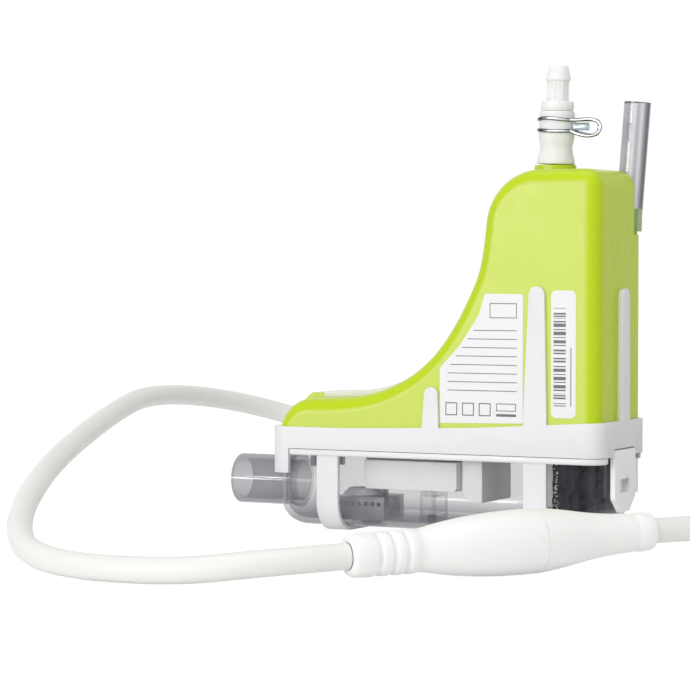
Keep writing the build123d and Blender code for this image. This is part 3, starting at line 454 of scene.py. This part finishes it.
seal_rubber.tint(seal_rubber.grain(350, 4), (0.022, 0.022, 0.024), (0.045, 0.045, 0.047))
seal_rubber.relief(seal_rubber.grain(2500, 3), 0.00003)
finished(seal_rubber, "reservoir_gasket", "rubber_feet", "piston_ring")
sensor_case = Finish("sensor_case", (0.02, 0.02, 0.022), Roughness=0.35)
sensor_case.relief(sensor_case.grain(3000, 2), 0.00001)
finished(sensor_case, "hall_sensor", "thermal_cutout", "alarm_relay")


# ------------------------------------------------------------------ housing
# Two mouldings in lime green ABS, a front shell and a shallower rear cover. The broad front and
# back faces are painted paler, a painted sheen; the rounded edges and the ends keep the deeper green.
lime = Finish("lime_plastic", (0.49, 0.64, 0.010), Roughness=0.33, Specular_IOR_Level=0.25)
# The paler colour of the broad front and back faces is a painted sheen.
to_front = lime.axes(lime.node("ShaderNodeNewGeometry", output="Normal"))[1].maths("ABSOLUTE")
painted_sheen = ((to_front - 0.955) * 26.0).clamped() * (lime.grain(16, 2) * 0.5 + 0.7)
lime.tint(painted_sheen.maths("MINIMUM", 1.0), (0.475, 0.615, 0.007), (0.545, 0.65, 0.10))
lime.feed("Roughness", lime.grain(150, 3) * 0.12 + 0.22)
lime.relief(lime.grain(2600, 2), 0.000002)
finished(lime, "housing_shell", "rear_cover")


# ------------------------------------------------------------------ rating label
# White polyester foil on the front, its left edge cut along the slope. It carries only ruled
# blank fields, a frame at the top and three at the foot.
foil_white, ink = (0.74, 0.74, 0.75), (0.10, 0.10, 0.11)
foil = Finish("label_foil", foil_white, Roughness=0.38)
across, _, up = foil.axes()


def within(wire, low, high):
    """1 where the value lies between two limits."""
    return wire.over(low) * wire.under(high)


def frame_of(x0, x1, z0, z1, line):
    """1 on the outline of an upright rectangle."""
    full = within(across, x0, x1) * within(up, z0, z1)
    bare = within(across, x0 + line, x1 - line) * within(up, z0 + line, z1 - line)
    return full - bare


row = (up * 1000.0 - 45.4).maths("MODULO", 2.62)
rules = row.under(0.26) * within(up, 0.0454, 0.0656) * across.under(0.0286)
cut_from = 0.0522  # above this height the left edge follows the slope
rules = rules * (across - up.maths("MAXIMUM", cut_from) * 0.74).over(0.0055 - cut_from * 0.74)
fields = rules + frame_of(0.0196, 0.0286, 0.0676, 0.0722, 0.00028)
for left in (0.0048, 0.0104, 0.0160):
    fields = fields + frame_of(left, left + 0.0040, 0.0378, 0.0418, 0.00034)
fields = fields + within(across, 0.0218, 0.0284) * within(up, 0.0378, 0.0386)
fields = fields + frame_of(0.0218, 0.0284, 0.0394, 0.0418, 0.00028)
foil.tint(fields, foil_white, ink)
foil.relief(foil.grain(1200, 2), 0.000006)
finished(foil, "rating_label")


# ------------------------------------------------------------------ serial label
# A second strip of the same foil, pressed on beside the tall rib. It carries only a made-up run
# of bars with a blank rule beside them.
bars = Finish("label_bars", foil_white, Roughness=0.38)
across, _, up = bars.axes()
wave = (up * 5200.0).maths("SINE") + (up * 7900.0 + 1.3).maths("SINE") + (up * 2300.0 + 0.4).maths("SINE")
strokes = wave.over(0.15) * within(across, 0.0406, 0.0446) * within(up, 0.0414, 0.0712)
strokes = strokes + within(across, 0.0461, 0.0464) * within(up, 0.0414, 0.0590)
bars.tint(strokes, foil_white, ink)
bars.relief(bars.grain(1200, 2), 0.000006)
finished(bars, "serial_label")


# ------------------------------------------------------------------ isolation frame
# Soft white thermoplastic rubber jacket stretched round the foot of the housing, with ribs up
# both faces, a strap up the slope and two legs that straddle the inlet spigot.
soft_white = Finish("soft_white", (0.80, 0.80, 0.815), Roughness=0.5, Subsurface_Weight=0.1,
                    Subsurface_Radius=(0.002, 0.002, 0.002), Subsurface_Scale=1.0)
soft_white.tint(soft_white.grain(45, 4), (0.715, 0.715, 0.73), (0.745, 0.745, 0.758))
soft_white.feed("Roughness", soft_white.grain(200, 3) * 0.16 + 0.40)
soft_white.relief(soft_white.grain(2200, 3) + soft_white.grain(60, 2) * 4.0, 0.000014)
softened("isolation_frame", 0.00035, "pump_unit", soft_white)


# ------------------------------------------------------------------ latch strap
# Tongue moulded in one with the jacket, of the same rubber. It folds down over the end of the
# tub and its window snaps over the wedge of the catch, which holds pump and tub together.
# The latch gets a lighter white than the jacket's rubber: painted light on its end face.
latch_lit_white = Finish("latch_lit_white", (0.88, 0.88, 0.90), Roughness=0.45)
latch_lit_white.tint(latch_lit_white.grain(45, 4), (0.87, 0.87, 0.90), (0.90, 0.90, 0.93))
latch_lit_white.relief(latch_lit_white.grain(2200, 3), 0.00001)
softened("latch_strap", 0.0006, "latch", latch_lit_white, segments=4)


# ------------------------------------------------------------------ solenoid pump
# Steel lamination stack round a bobbin of enamelled copper, a moulded cylinder and heads with
# sprung valves, a free steel piston and a plastic saddle on rubber feet.
laminations = Finish("laminations", (0.16, 0.16, 0.17), Roughness=0.42, Metallic=0.8)
layer = laminations.node("ShaderNodeTexWave", output="Fac", settings={"bands_direction": "Y"},
                         Vector=laminations.place, Scale=320.0, Distortion=0.3)
laminations.tint(layer, (0.10, 0.10, 0.11), (0.24, 0.24, 0.25))
laminations.relief(layer, 0.0001)
finished(laminations, "coil_yoke")
copper = Finish("enamelled_copper", (0.48, 0.17, 0.05), Roughness=0.3, Metallic=0.7)
turn = copper.node("ShaderNodeTexWave", output="Fac", settings={"bands_direction": "Z"},
                   Vector=copper.place, Scale=560.0, Distortion=0.4)
copper.tint(turn, (0.30, 0.09, 0.03), (0.62, 0.25, 0.09))
copper.relief(turn, 0.0002)
finished(copper, "coil_winding")
nylon = Finish("white_nylon", (0.80, 0.79, 0.76), Roughness=0.4, Subsurface_Weight=0.15,
               Subsurface_Radius=(0.002, 0.002, 0.0018), Subsurface_Scale=1.0)
nylon.tint(nylon.grain(200, 3), (0.77, 0.77, 0.755), (0.82, 0.82, 0.81))
nylon.relief(nylon.grain(1600, 2), 0.00002)
finished(nylon, "coil_bobbin", "pump_cylinder", "outlet_head", "inlet_tube", "pump_bracket", "board_posts",
         "terminal_block")
finished(seal_rubber, "inlet_valve", "outlet_valve")
mesh_filter = Finish("filter_mesh", (0.5, 0.5, 0.47), Roughness=0.6)
weave = mesh_filter.node("ShaderNodeTexChecker", output="Fac", Vector=mesh_filter.place, Scale=1600.0)
mesh_filter.tint(weave, (0.25, 0.25, 0.23), (0.62, 0.62, 0.58))
mesh_filter.relief(weave, 0.0002)
finished(mesh_filter, "inlet_filter")
spring_steel = Finish("spring_steel", (0.50, 0.50, 0.51), Roughness=0.3, Metallic=1.0)
spring_steel.feed("Roughness", spring_steel.grain(1500, 3) * 0.25 + 0.2)
piston_steel = Finish("piston_steel", (0.45, 0.45, 0.46), Roughness=0.22, Metallic=1.0)
drawn = piston_steel.node("ShaderNodeTexNoise", output="Fac", Scale=1.0,
                          Vector=piston_steel.node("ShaderNodeMapping", Vector=piston_steel.place,
                                                   Scale=(4000.0, 4000.0, 90.0)))
piston_steel.feed("Roughness", drawn * 0.25 + 0.14)
finished(piston_steel, "piston")


# ------------------------------------------------------------------ springs of the pump
# Four compression springs of round steel wire with closed ends: one behind each valve disc and
# one each side of the piston.
pump_axis = 0.0332


def compression_spring(name, low, high, radius, wire, turns):
    """A coil on the pump axis, in mm, between a low and a high height."""
    per_turn = 16
    closed_end = 12
    steps = turns * per_turn + 2 * closed_end
    route = []
    for step in range(steps + 1):
        share = min(max((step - closed_end) / (steps - 2 * closed_end), 0.0), 1.0)
        dead = min(step, closed_end) + max(step - (steps - closed_end), 0)
        height = low + wire * 0.5 + (high - low - wire * 3.0) * share + wire * dead / closed_end
        angle = 2 * math.pi * step / per_turn
        route.append((pump_axis + radius / 1000 * math.cos(angle), radius / 1000 * math.sin(angle),
                      height / 1000))
    coil = as_mesh(flex("coil_" + name, route, wire / 1000, steps=2, facets=2), 50)
    coil.data.materials.clear()
    coil.data.materials.append(spring_steel.material)
    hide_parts(name)
    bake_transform(coil)


compression_spring("inlet_valve_spring", 44.2, 50.9, 2.0, 0.5, 4)
compression_spring("outlet_valve_spring", 99.4, 106.0, 2.0, 0.5, 4)
compression_spring("lower_spring", 54.1, 61.9, 2.6, 0.7, 4)
compression_spring("upper_spring", 82.1, 96.0, 2.6, 0.7, 6)


# ------------------------------------------------------------------ circuit board
# Green glass-fibre board on four posts with a relay, a film capacitor, a choke, a terminal
# block and a thermal cut-out. Tinned tracks run under the solder mask.
board = Finish("board_green", (0.03, 0.16, 0.07), Roughness=0.35)
tracks = board.node("ShaderNodeTexBrick", output="Fac", Vector=board.place, Scale=260.0)
board.tint(tracks, (0.02, 0.13, 0.055), (0.06, 0.26, 0.11))
board.relief(tracks, 0.00004)
finished(board, "circuit_board")
film = Finish("capacitor_blue", (0.04, 0.12, 0.42), Roughness=0.3)
film.tint(film.grain(300, 3), (0.03, 0.09, 0.34), (0.06, 0.16, 0.5))
film.relief(film.grain(600, 3), 0.00005)
finished(film, "capacitor")
ferrite = Finish("ferrite", (0.06, 0.055, 0.055), Roughness=0.5)
wound = ferrite.node("ShaderNodeTexWave", output="Fac", settings={"bands_direction": "X"},
                     Vector=ferrite.place, Scale=300.0, Distortion=0.5)
ferrite.tint(wound, (0.05, 0.045, 0.045), (0.30, 0.11, 0.04))
ferrite.relief(wound, 0.0002)
finished(ferrite, "mains_choke")


# ------------------------------------------------------------------ outlet hose
# Short sleeve of white silicone pushed over the nozzle and the adaptor. The clip squeezes it,
# it is drawn in below that, and its foot is flared on the collar of the housing.


def ringed(name, outline, sides, closed=True):
    """A turned piece along Z, in mm: a ring that is extruded and resized from point to point.

    A closed outline ends where it starts and makes a tube; an open one is capped at both ends.
    """
    bpy.ops.object.select_all(action="DESELECT")
    radius, height = outline[0]
    bpy.ops.mesh.primitive_circle_add(vertices=sides, radius=radius / 1000, fill_type="NOTHING",
                                      location=(0, 0, 0))
    piece = bpy.context.object
    piece.name = name
    bpy.ops.object.mode_set(mode="EDIT")
    bpy.ops.mesh.select_all(action="SELECT")
    bpy.ops.transform.translate(value=(0, 0, height / 1000))
    if not closed:
        bpy.ops.mesh.edge_face_add()
        bpy.ops.mesh.duplicate()
        bpy.ops.mesh.delete(type="ONLY_FACE")
    for (r0, z0), (r1, z1) in zip(outline, outline[1:]):
        bpy.ops.mesh.extrude_edges_move(TRANSFORM_OT_translate={"value": (0, 0, (z1 - z0) / 1000)})
        bpy.ops.transform.resize(value=(r1 / r0, r1 / r0, 1), center_override=(0, 0, z1 / 1000))
    if not closed:
        bpy.ops.mesh.edge_face_add()
    bpy.ops.mesh.select_all(action="SELECT")
    bpy.ops.mesh.remove_doubles(threshold=0.000002)
    bpy.ops.mesh.normals_make_consistent(inside=False)
    bpy.ops.object.mode_set(mode="OBJECT")
    return piece


def settle(piece, matrix):
    """Turns and moves a piece to its place and fixes that in its mesh."""
    picked(piece)
    piece.matrix_world = matrix
    bpy.ops.object.transform_apply(location=True, rotation=True, scale=True)


def rounded(piece, levels=2):
    """Subdivision surface, applied."""
    bpy.context.view_layer.objects.active = piece
    smooth = piece.modifiers.new("smooth", "SUBSURF")
    smooth.levels = levels
    smooth.render_levels = levels
    bpy.ops.object.modifier_apply(modifier="smooth")
    bpy.ops.object.shade_smooth_by_angle(angle=math.radians(45))


collar_top = 0.1126
outlet_lean = (Matrix.Translation((pump_axis, 0, collar_top)) @ Matrix.Rotation(math.radians(1.8), 4, "Y")
               @ Matrix.Translation((0, 0, -collar_top)))
silicone = Finish("silicone_white", (0.84, 0.84, 0.84), Roughness=0.45, Subsurface_Weight=0.25,
                  Subsurface_Radius=(0.003, 0.003, 0.003), Subsurface_Scale=1.0)
silicone.tint(silicone.grain(120, 3), (0.77, 0.77, 0.775), (0.82, 0.82, 0.825))
silicone.relief(silicone.grain(500, 3) + silicone.grain(70, 2) * 3.0, 0.00004)
hose = ringed("hose_sleeve", [
    (3.12, 114.45), (5.7, 114.45), (5.92, 114.7), (5.9, 115.4), (5.55, 116.8), (5.1, 118.3), (4.95, 119.5),
    (5.1, 120.7), (5.42, 122.0), (5.55, 123.4), (5.45, 124.3), (5.32, 124.7), (5.45, 125.1), (5.5, 126.4),
    (5.42, 127.7), (5.28, 128.15), (5.42, 128.6), (5.4, 129.6), (5.45, 130.3), (5.25, 130.72), (4.9, 130.8),
    (3.12, 130.8), (3.12, 122.0), (3.12, 114.45),
], 32)
rounded(hose)
settle(hose, outlet_lean)
dress(hose, silicone, "pump_unit", "outlet_hose")


# ------------------------------------------------------------------ barbed adaptor
# Injection-moulded white nylon: a stem in the hose, a banded collar, a ribbed neck and one barb
# for the small-bore drain tube.
adaptor = ringed("barb_adaptor", [
    (1.7, 123.0), (3.1, 123.0), (3.1, 130.85), (4.75, 130.85), (4.9, 131.0), (4.9, 131.25), (4.8, 131.35),
    (4.95, 131.5), (5.06, 131.65), (5.06, 133.2), (4.95, 133.45), (4.6, 133.75), (3.6, 133.9), (3.32, 134.2),
    (3.3, 140.05), (3.72, 140.1), (3.82, 140.25), (3.82, 140.8), (3.7, 141.2), (3.0, 144.35), (2.8, 144.6),
    (1.9, 144.6), (1.7, 144.4), (1.7, 123.0),
], 48)
bpy.ops.object.mode_set(mode="EDIT")
bpy.ops.mesh.select_all(action="DESELECT")
bpy.ops.object.mode_set(mode="OBJECT")
for face in adaptor.data.polygons:  # one in six of the neck's outer faces becomes a rib
    middle = face.center
    outward = face.normal.x * middle.x + face.normal.y * middle.y
    round_neck = math.degrees(math.atan2(middle.y, middle.x)) % 45
    face.select = 0.1345 < middle.z < 0.1399 and outward > 0 and round_neck < 7.5
bpy.ops.object.mode_set(mode="EDIT")
bpy.ops.mesh.select_mode(type="FACE")
bpy.ops.mesh.extrude_region_shrink_fatten(TRANSFORM_OT_shrink_fatten={"value": 0.00022})
bpy.ops.mesh.select_mode(type="VERT")
bpy.ops.object.mode_set(mode="OBJECT")
eased(adaptor, 0.00012, 2, 35)
bpy.ops.object.shade_smooth_by_angle(angle=math.radians(30))
settle(adaptor, outlet_lean)
dress(adaptor, nylon, "pump_unit", "outlet_adaptor")


# ------------------------------------------------------------------ hose clip
# One closed spring wire: two turns round the hose, joined at the right by two long eyes that
# are squeezed to open it, with a folded steel tab between them.


def clip_turn(way, level, sway):
    """One open turn of the wire round the hose, in mm, that leaves room for the eyes."""
    for step in range(19):
        angle = way * math.radians(20 + step * 320 / 18)
        yield 5.62 * math.cos(angle), 5.62 * math.sin(angle), level + sway[0] * math.sin(sway[1] * angle)


above, below = 128.25, 124.7
wire_path = [
    *clip_turn(-1, above, (0.22, 2.6)),
    (8.2, 1.9, above + 0.1), (11.6, 1.8, above + 0.1), (13.3, 1.6, above - 0.5), (13.4, 1.5, above - 2.6),
    (12.9, 1.6, below - 0.7), (10.6, 1.8, below - 1.2), (8.0, 1.9, below - 0.7),
    *clip_turn(1, below, (0.20, 2.2)),
    (7.6, -2.0, below - 0.9), (10.8, -1.8, below - 1.6), (14.0, -1.6, below - 0.9), (15.2, -1.5, below + 1.2),
    (14.4, -1.6, above - 0.6), (11.4, -1.8, above + 0.3), (8.2, -1.9, above - 0.1),
]
wire_path = [(x / 1000, y / 1000, z / 1000) for x, y, z in wire_path]
clip = as_mesh(flex("clip_wire", wire_path, 0.00104, steps=6, facets=4, closed=True), 180)
settle(clip, outlet_lean)
bright_wire = Finish("steel_wire", (0.60, 0.60, 0.62), Roughness=0.12, Metallic=1.0)
bright_wire.feed("Roughness", bright_wire.grain(1800, 3) * 0.16 + 0.06)
# Painted reflections: the wire runs near black where it turns away from the view and pale in the middle.
turned_away = bright_wire.node("ShaderNodeLayerWeight", output="Facing", Blend=0.5)
shade = turned_away * 3.0 - bright_wire.grain(420, 2) * 0.4
bright_wire.tint(shade.clamped(), (0.66, 0.67, 0.70), (0.03, 0.035, 0.04))
bright_wire.relief(bright_wire.grain(900, 2), 0.00003)
dress(clip, bright_wire, "pump_unit", "hose_clip")

bpy.ops.object.select_all(action="DESELECT")
bpy.ops.mesh.primitive_cube_add(size=1, location=(0, 0, 0))
tab = bpy.context.object
tab.name = "clip_tab"
bpy.ops.object.mode_set(mode="EDIT")
bpy.ops.mesh.select_all(action="SELECT")
bpy.ops.transform.resize(value=(0.0052, 0.0012, 0.0024))
bpy.ops.mesh.bevel(offset=0.0003, segments=2, affect="EDGES")
bpy.ops.mesh.select_all(action="DESELECT")
bpy.ops.object.mode_set(mode="OBJECT")
for face in tab.data.polygons:
    face.select = abs(face.normal.y) > 0.9 and abs(face.center.y) > 0.0005
bpy.ops.object.mode_set(mode="EDIT")
bpy.ops.mesh.select_mode(type="FACE")
bpy.ops.mesh.inset(thickness=0.00045, depth=-0.0003, use_individual=True)
bpy.ops.mesh.select_mode(type="VERT")
bpy.ops.object.mode_set(mode="OBJECT")
bpy.ops.object.shade_smooth_by_angle(angle=math.radians(35))
settle(tab, outlet_lean @ Matrix.Translation((0.0082, -0.0004, 0.1262)))
blued = Finish("blued_tab", (0.42, 0.50, 0.58), Roughness=0.22, Metallic=1.0)
blued.feed("Roughness", blued.grain(1400, 3) * 0.2 + 0.14)
blued.tint(blued.grain(300, 2), (0.30, 0.38, 0.46), (0.62, 0.70, 0.76))
tab.data.materials.append(blued.material)
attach(tab, "pump_unit")


# ------------------------------------------------------------------ breather tube
# A length of clear vinyl tube pushed over a green spigot in the notch of the rear cover. Its cut
# walls and the edges of its bore are painted on as grey and dark streaks across the view, with a
# dark painted rim at the cut top: painted reflections and painted shade.
vinyl = Finish("clear_vinyl", (0.40, 0.41, 0.46), Roughness=0.12, IOR=1.6, Specular_IOR_Level=0.6)
grazing = vinyl.node("ShaderNodeLayerWeight", output="Facing", Blend=0.45)
vinyl.feed("Roughness", vinyl.grain(60, 2) * 0.12 + 0.04)
streaks = vinyl.node("ShaderNodeTexNoise", output="Fac", Scale=1.0,
                     Vector=vinyl.node("ShaderNodeMapping", Vector=vinyl.place, Scale=(420.0, 420.0, 14.0)))
vinyl.relief(streaks, 0.0001)
x, y, height = vinyl.axes()
tube_x, tube_y, tube_foot, tube_lean = 0.0512, 0.0152, 0.0955, 0.0775
leaning = x - tube_x - (height - tube_foot) * tube_lean
side = (leaning * 0.887 + (y - tube_y) * 0.462) * 122.0 + 0.5
on_stub = height.under(0.1010)
cut_end = height.over(0.1333)
pale, lilac_grey = (0.84, 0.84, 0.88), (0.46, 0.46, 0.53)
mid_grey, dark_grey = (0.22, 0.22, 0.27), (0.04, 0.04, 0.06)
# Painted reflections: pale, lilac and dark streaks laid across the tube as the camera sees it, and a dark rim
# at the top.
painted_streaks = vinyl.node(
    "ShaderNodeValToRGB", output="Color", Fac=side * (1.0 - cut_end) + cut_end * 0.87,
    stops=[(0.03, lilac_grey), (0.20, lilac_grey), (0.36, pale), (0.50, lilac_grey), (0.65, pale),
           (0.80, mid_grey), (0.89, dark_grey), (0.97, mid_grey)])
vinyl.feed("Base Color", vinyl.node("ShaderNodeMix", output=2, settings={"data_type": "RGBA"},
                                    _0=on_stub * 0.8, _6=painted_streaks, _7=(0.24, 0.40, 0.01, 1.0)))
vinyl.feed("Alpha", grazing * 0.20 + 0.76 - on_stub * 0.2)
finished(vinyl, "breather_tube")


# ------------------------------------------------------------------ strain relief at the back
# Off-white PVC boot moulded on the tail, stepped into the gland of the cover and ribbed so that
# it bends evenly.
boot_outline = [(3.55, 14.2), (5.6, 14.2), (5.6, 16.4), (5.0, 16.4), (5.0, 18.6), (6.2, 18.6), (6.2, 20.2),
                (5.8, 20.6)]
for rib in range(7):
    at = 21.4 + rib * 2.4
    crest = 5.4 - rib * 0.14
    boot_outline += [(crest - 0.55, at), (crest, at + 0.35), (crest, at + 1.35), (crest - 0.6, at + 1.7)]
boot_outline += [(4.35, 38.4), (4.2, 38.9), (3.65, 39.0), (3.55, 38.7), (3.55, 14.2)]
boot = ringed("tail_boot", boot_outline, 40)
eased(boot, 0.00015, 2, 35)
bpy.ops.object.shade_smooth_by_angle(angle=math.radians(35))
settle(boot, Matrix.Translation((-0.008, 0, 0.038)) @ Matrix.Rotation(math.radians(-90), 4, "X"))
sheath_moulding = Finish("sheath_moulding", (0.84, 0.83, 0.80), Roughness=0.38, Subsurface_Weight=0.15,
                         Subsurface_Radius=(0.003, 0.0026, 0.0022), Subsurface_Scale=1.0)
sheath_moulding.tint(sheath_moulding.grain(40, 3), (0.86, 0.855, 0.84), (0.89, 0.885, 0.875))
sheath_moulding.feed("Roughness", sheath_moulding.grain(160, 3) * 0.14 + 0.30)
sheath_moulding.relief(sheath_moulding.grain(1500, 2) + sheath_moulding.grain(80, 2) * 5.0, 0.00002)
dress(boot, sheath_moulding, "pump_unit", "tail_relief")


# ------------------------------------------------------------------ inline connector
# Two soft white PVC mouldings over a four-pin insert. The tail half has a grooved relief and
# swells to a skirt that takes the nose of the lead half; the seam between them is a fine line.
plug_start = Vector((0.0331, -0.1384, 0.0076))
plug_end = Vector((0.0898, -0.0646, 0.0103))
along = (plug_end - plug_start).normalized()
plug_turn = along.to_track_quat("Z", "Y").to_matrix().to_4x4()
plug_place = Matrix.Translation(plug_start) @ plug_turn
plug_length = (plug_end - plug_start).length * 1000
tail_half = ringed("tail_half", [
    (3.3, 0.9), (3.55, 0.1), (4.2, 0.02), (5.1, 0.15), (5.7, 0.8), (5.95, 3.0), (5.97, 6.4),
    (5.9, 7.0), (5.55, 7.3), (5.55, 8.1), (5.95, 8.45), (6.02, 9.2), (6.02, 10.6),
    (5.95, 11.1), (5.6, 11.4), (5.6, 12.2), (6.0, 12.55), (6.08, 13.3), (6.1, 14.6),
    (6.0, 15.1), (5.68, 15.4), (5.68, 16.2), (6.05, 16.55), (6.12, 17.2), (6.1, 18.5),
    (5.85, 19.6), (5.8, 20.8), (6.1, 22.6), (6.7, 25.6), (7.45, 30.0), (8.05, 35.0), (8.5, 40.0),
    (8.78, 45.0), (8.88, 50.0), (8.88, 54.6), (8.87, 55.7), (8.86, 55.93), (8.8, 55.99), (8.6, 56.0),
    (6.45, 56.0), (6.45, 41.5), (3.3, 41.5), (3.3, 30.0), (3.3, 0.9),
], 32)
rounded(tail_half)
settle(tail_half, plug_place)
dress(tail_half, sheath_moulding, "reservoir", "connector_inlet")
lead_half = ringed("lead_half", [
    (3.4, 92.4), (3.8, plug_length), (5.0, plug_length - 0.5), (5.4, 91.0), (5.45, 89.0), (5.4, 87.5),
    (5.25, 87.0), (5.22, 86.4), (5.35, 85.9), (5.45, 84.5), (5.6, 81.0), (6.0, 76.4), (6.75, 71.0),
    (7.7, 66.0), (8.35, 61.5), (8.75, 57.8), (8.83, 56.4), (8.84, 56.1), (8.78, 56.04), (8.6, 56.03),
    (6.4, 56.03), (6.4, 42.6), (5.9, 42.0), (3.4, 42.0), (3.4, 60.0), (3.4, 92.4),
], 32)
rounded(lead_half)
settle(lead_half, plug_place)
dress(lead_half, sheath_moulding, "lead", "connector_socket")
brass = Finish("barrel_brass", (0.62, 0.44, 0.18), Roughness=0.28, Metallic=1.0)
brass.feed("Roughness", brass.grain(1200, 3) * 0.2 + 0.2)
brass.tint(brass.grain(500, 2), (0.52, 0.36, 0.13), (0.72, 0.54, 0.26))
finished(brass, "inlet_pins", "socket_contacts")


# ------------------------------------------------------------------ free end of the lead
# The sheath is stripped back from four cores of brown, black, grey and blue PVC, each crimped in
# a tinned ferrule for the screw terminals of the air conditioner.
core = Finish("core_insulation", (0.2, 0.2, 0.2), Roughness=0.35)
end_x, end_z = 0.1421, 0.0250
x, _, z = core.axes()
which = x.over(end_x) * 0.5 + z.over(end_z) * 0.25
hue = core.node("ShaderNodeValToRGB", output="Color", Fac=which + 0.1,
                stops=[(0.0, (0.16, 0.06, 0.02)), (0.25, (0.01, 0.01, 0.01)),
                       (0.5, (0.22, 0.22, 0.23)), (0.75, (0.02, 0.07, 0.35))])
hue.socket.node.color_ramp.interpolation = "CONSTANT"
core.feed("Base Color", hue)
core.relief(core.grain(1200, 2), 0.00002)
finished(core, "lead_cores")
finished(plated, "core_ferrules")


# The tail's bend is reckoned along Y only, so its front half rises too when the pump is lifted
# off, and comes away from the connector: a known fault.
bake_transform(pump_tail)


# ------------------------------------------------------------------ floor, backdrop and light
# A pale bench under a white sky, one large soft lamp in front, a low card at the front left, a
# weak fill at the right and a broad lamp overhead.


def seen_directly(tree):
    """1 where the camera sees a thing itself, in a gloss or through clear plastic; else 0."""
    path = tree.nodes.new("ShaderNodeLightPath")
    seen = Wire(tree, path.outputs["Is Camera Ray"])
    for ray in ("Is Glossy Ray", "Is Transmission Ray"):
        seen = (seen + Wire(tree, path.outputs[ray])).maths("MINIMUM", 1.0)
    return seen


bpy.ops.object.select_all(action="DESELECT")
bpy.ops.mesh.primitive_plane_add(size=24, location=(0, 0, 0))
floor = bpy.context.object
floor.name = "floor"
bench = Finish("bench", (0.92, 0.92, 0.92), Roughness=0.9)
lit = bench.node("ShaderNodeMixShader", _0=seen_directly(bench.tree) * 0.90,
                 _1=Wire(bench.tree, bench.shader.outputs[0]),
                 _2=bench.node("ShaderNodeEmission", Strength=1.08))
bench.tree.links.new(lit.socket, bench.tree.nodes["Material Output"].inputs["Surface"])
floor.data.materials.append(bench.material)

world = bpy.data.worlds.new("studio")
bpy.context.scene.world = world
world.use_nodes = True
sky = world.node_tree
back = sky.nodes["Background"]
sky.links.new((seen_directly(sky) * 0.58 + 0.42).socket, back.inputs["Strength"])
back.inputs["Color"].default_value = (1, 1, 1, 1)


def lamp(name, place, aim, size, watts):
    """An oblong soft lamp that looks at a point."""
    light = bpy.data.lights.new(name, "AREA")
    light.shape = "RECTANGLE"
    light.size, light.size_y = size
    light.energy = watts
    stand = bpy.data.objects.new(name, light)
    stand.location = place
    stand.rotation_euler = (Vector(aim) - Vector(place)).to_track_quat("-Z", "Y").to_euler()
    bpy.context.scene.collection.objects.link(stand)


lamp("key", (0.30, -2.20, 0.95), (0, 0, 0.06), (2.0, 1.5), 18)
lamp("card", (-1.05, -2.15, 0.26), (0, 0, 0.06), (0.9, 0.52), 12)
lamp("fill", (1.5, -0.9, 0.7), (0, 0, 0.05), (0.9, 0.9), 2.0)
lamp("top", (0.1, -0.2, 1.7), (0, 0, 0), (1.4, 1.4), 11.5)

bpy.context.scene.view_settings.view_transform = "Standard"
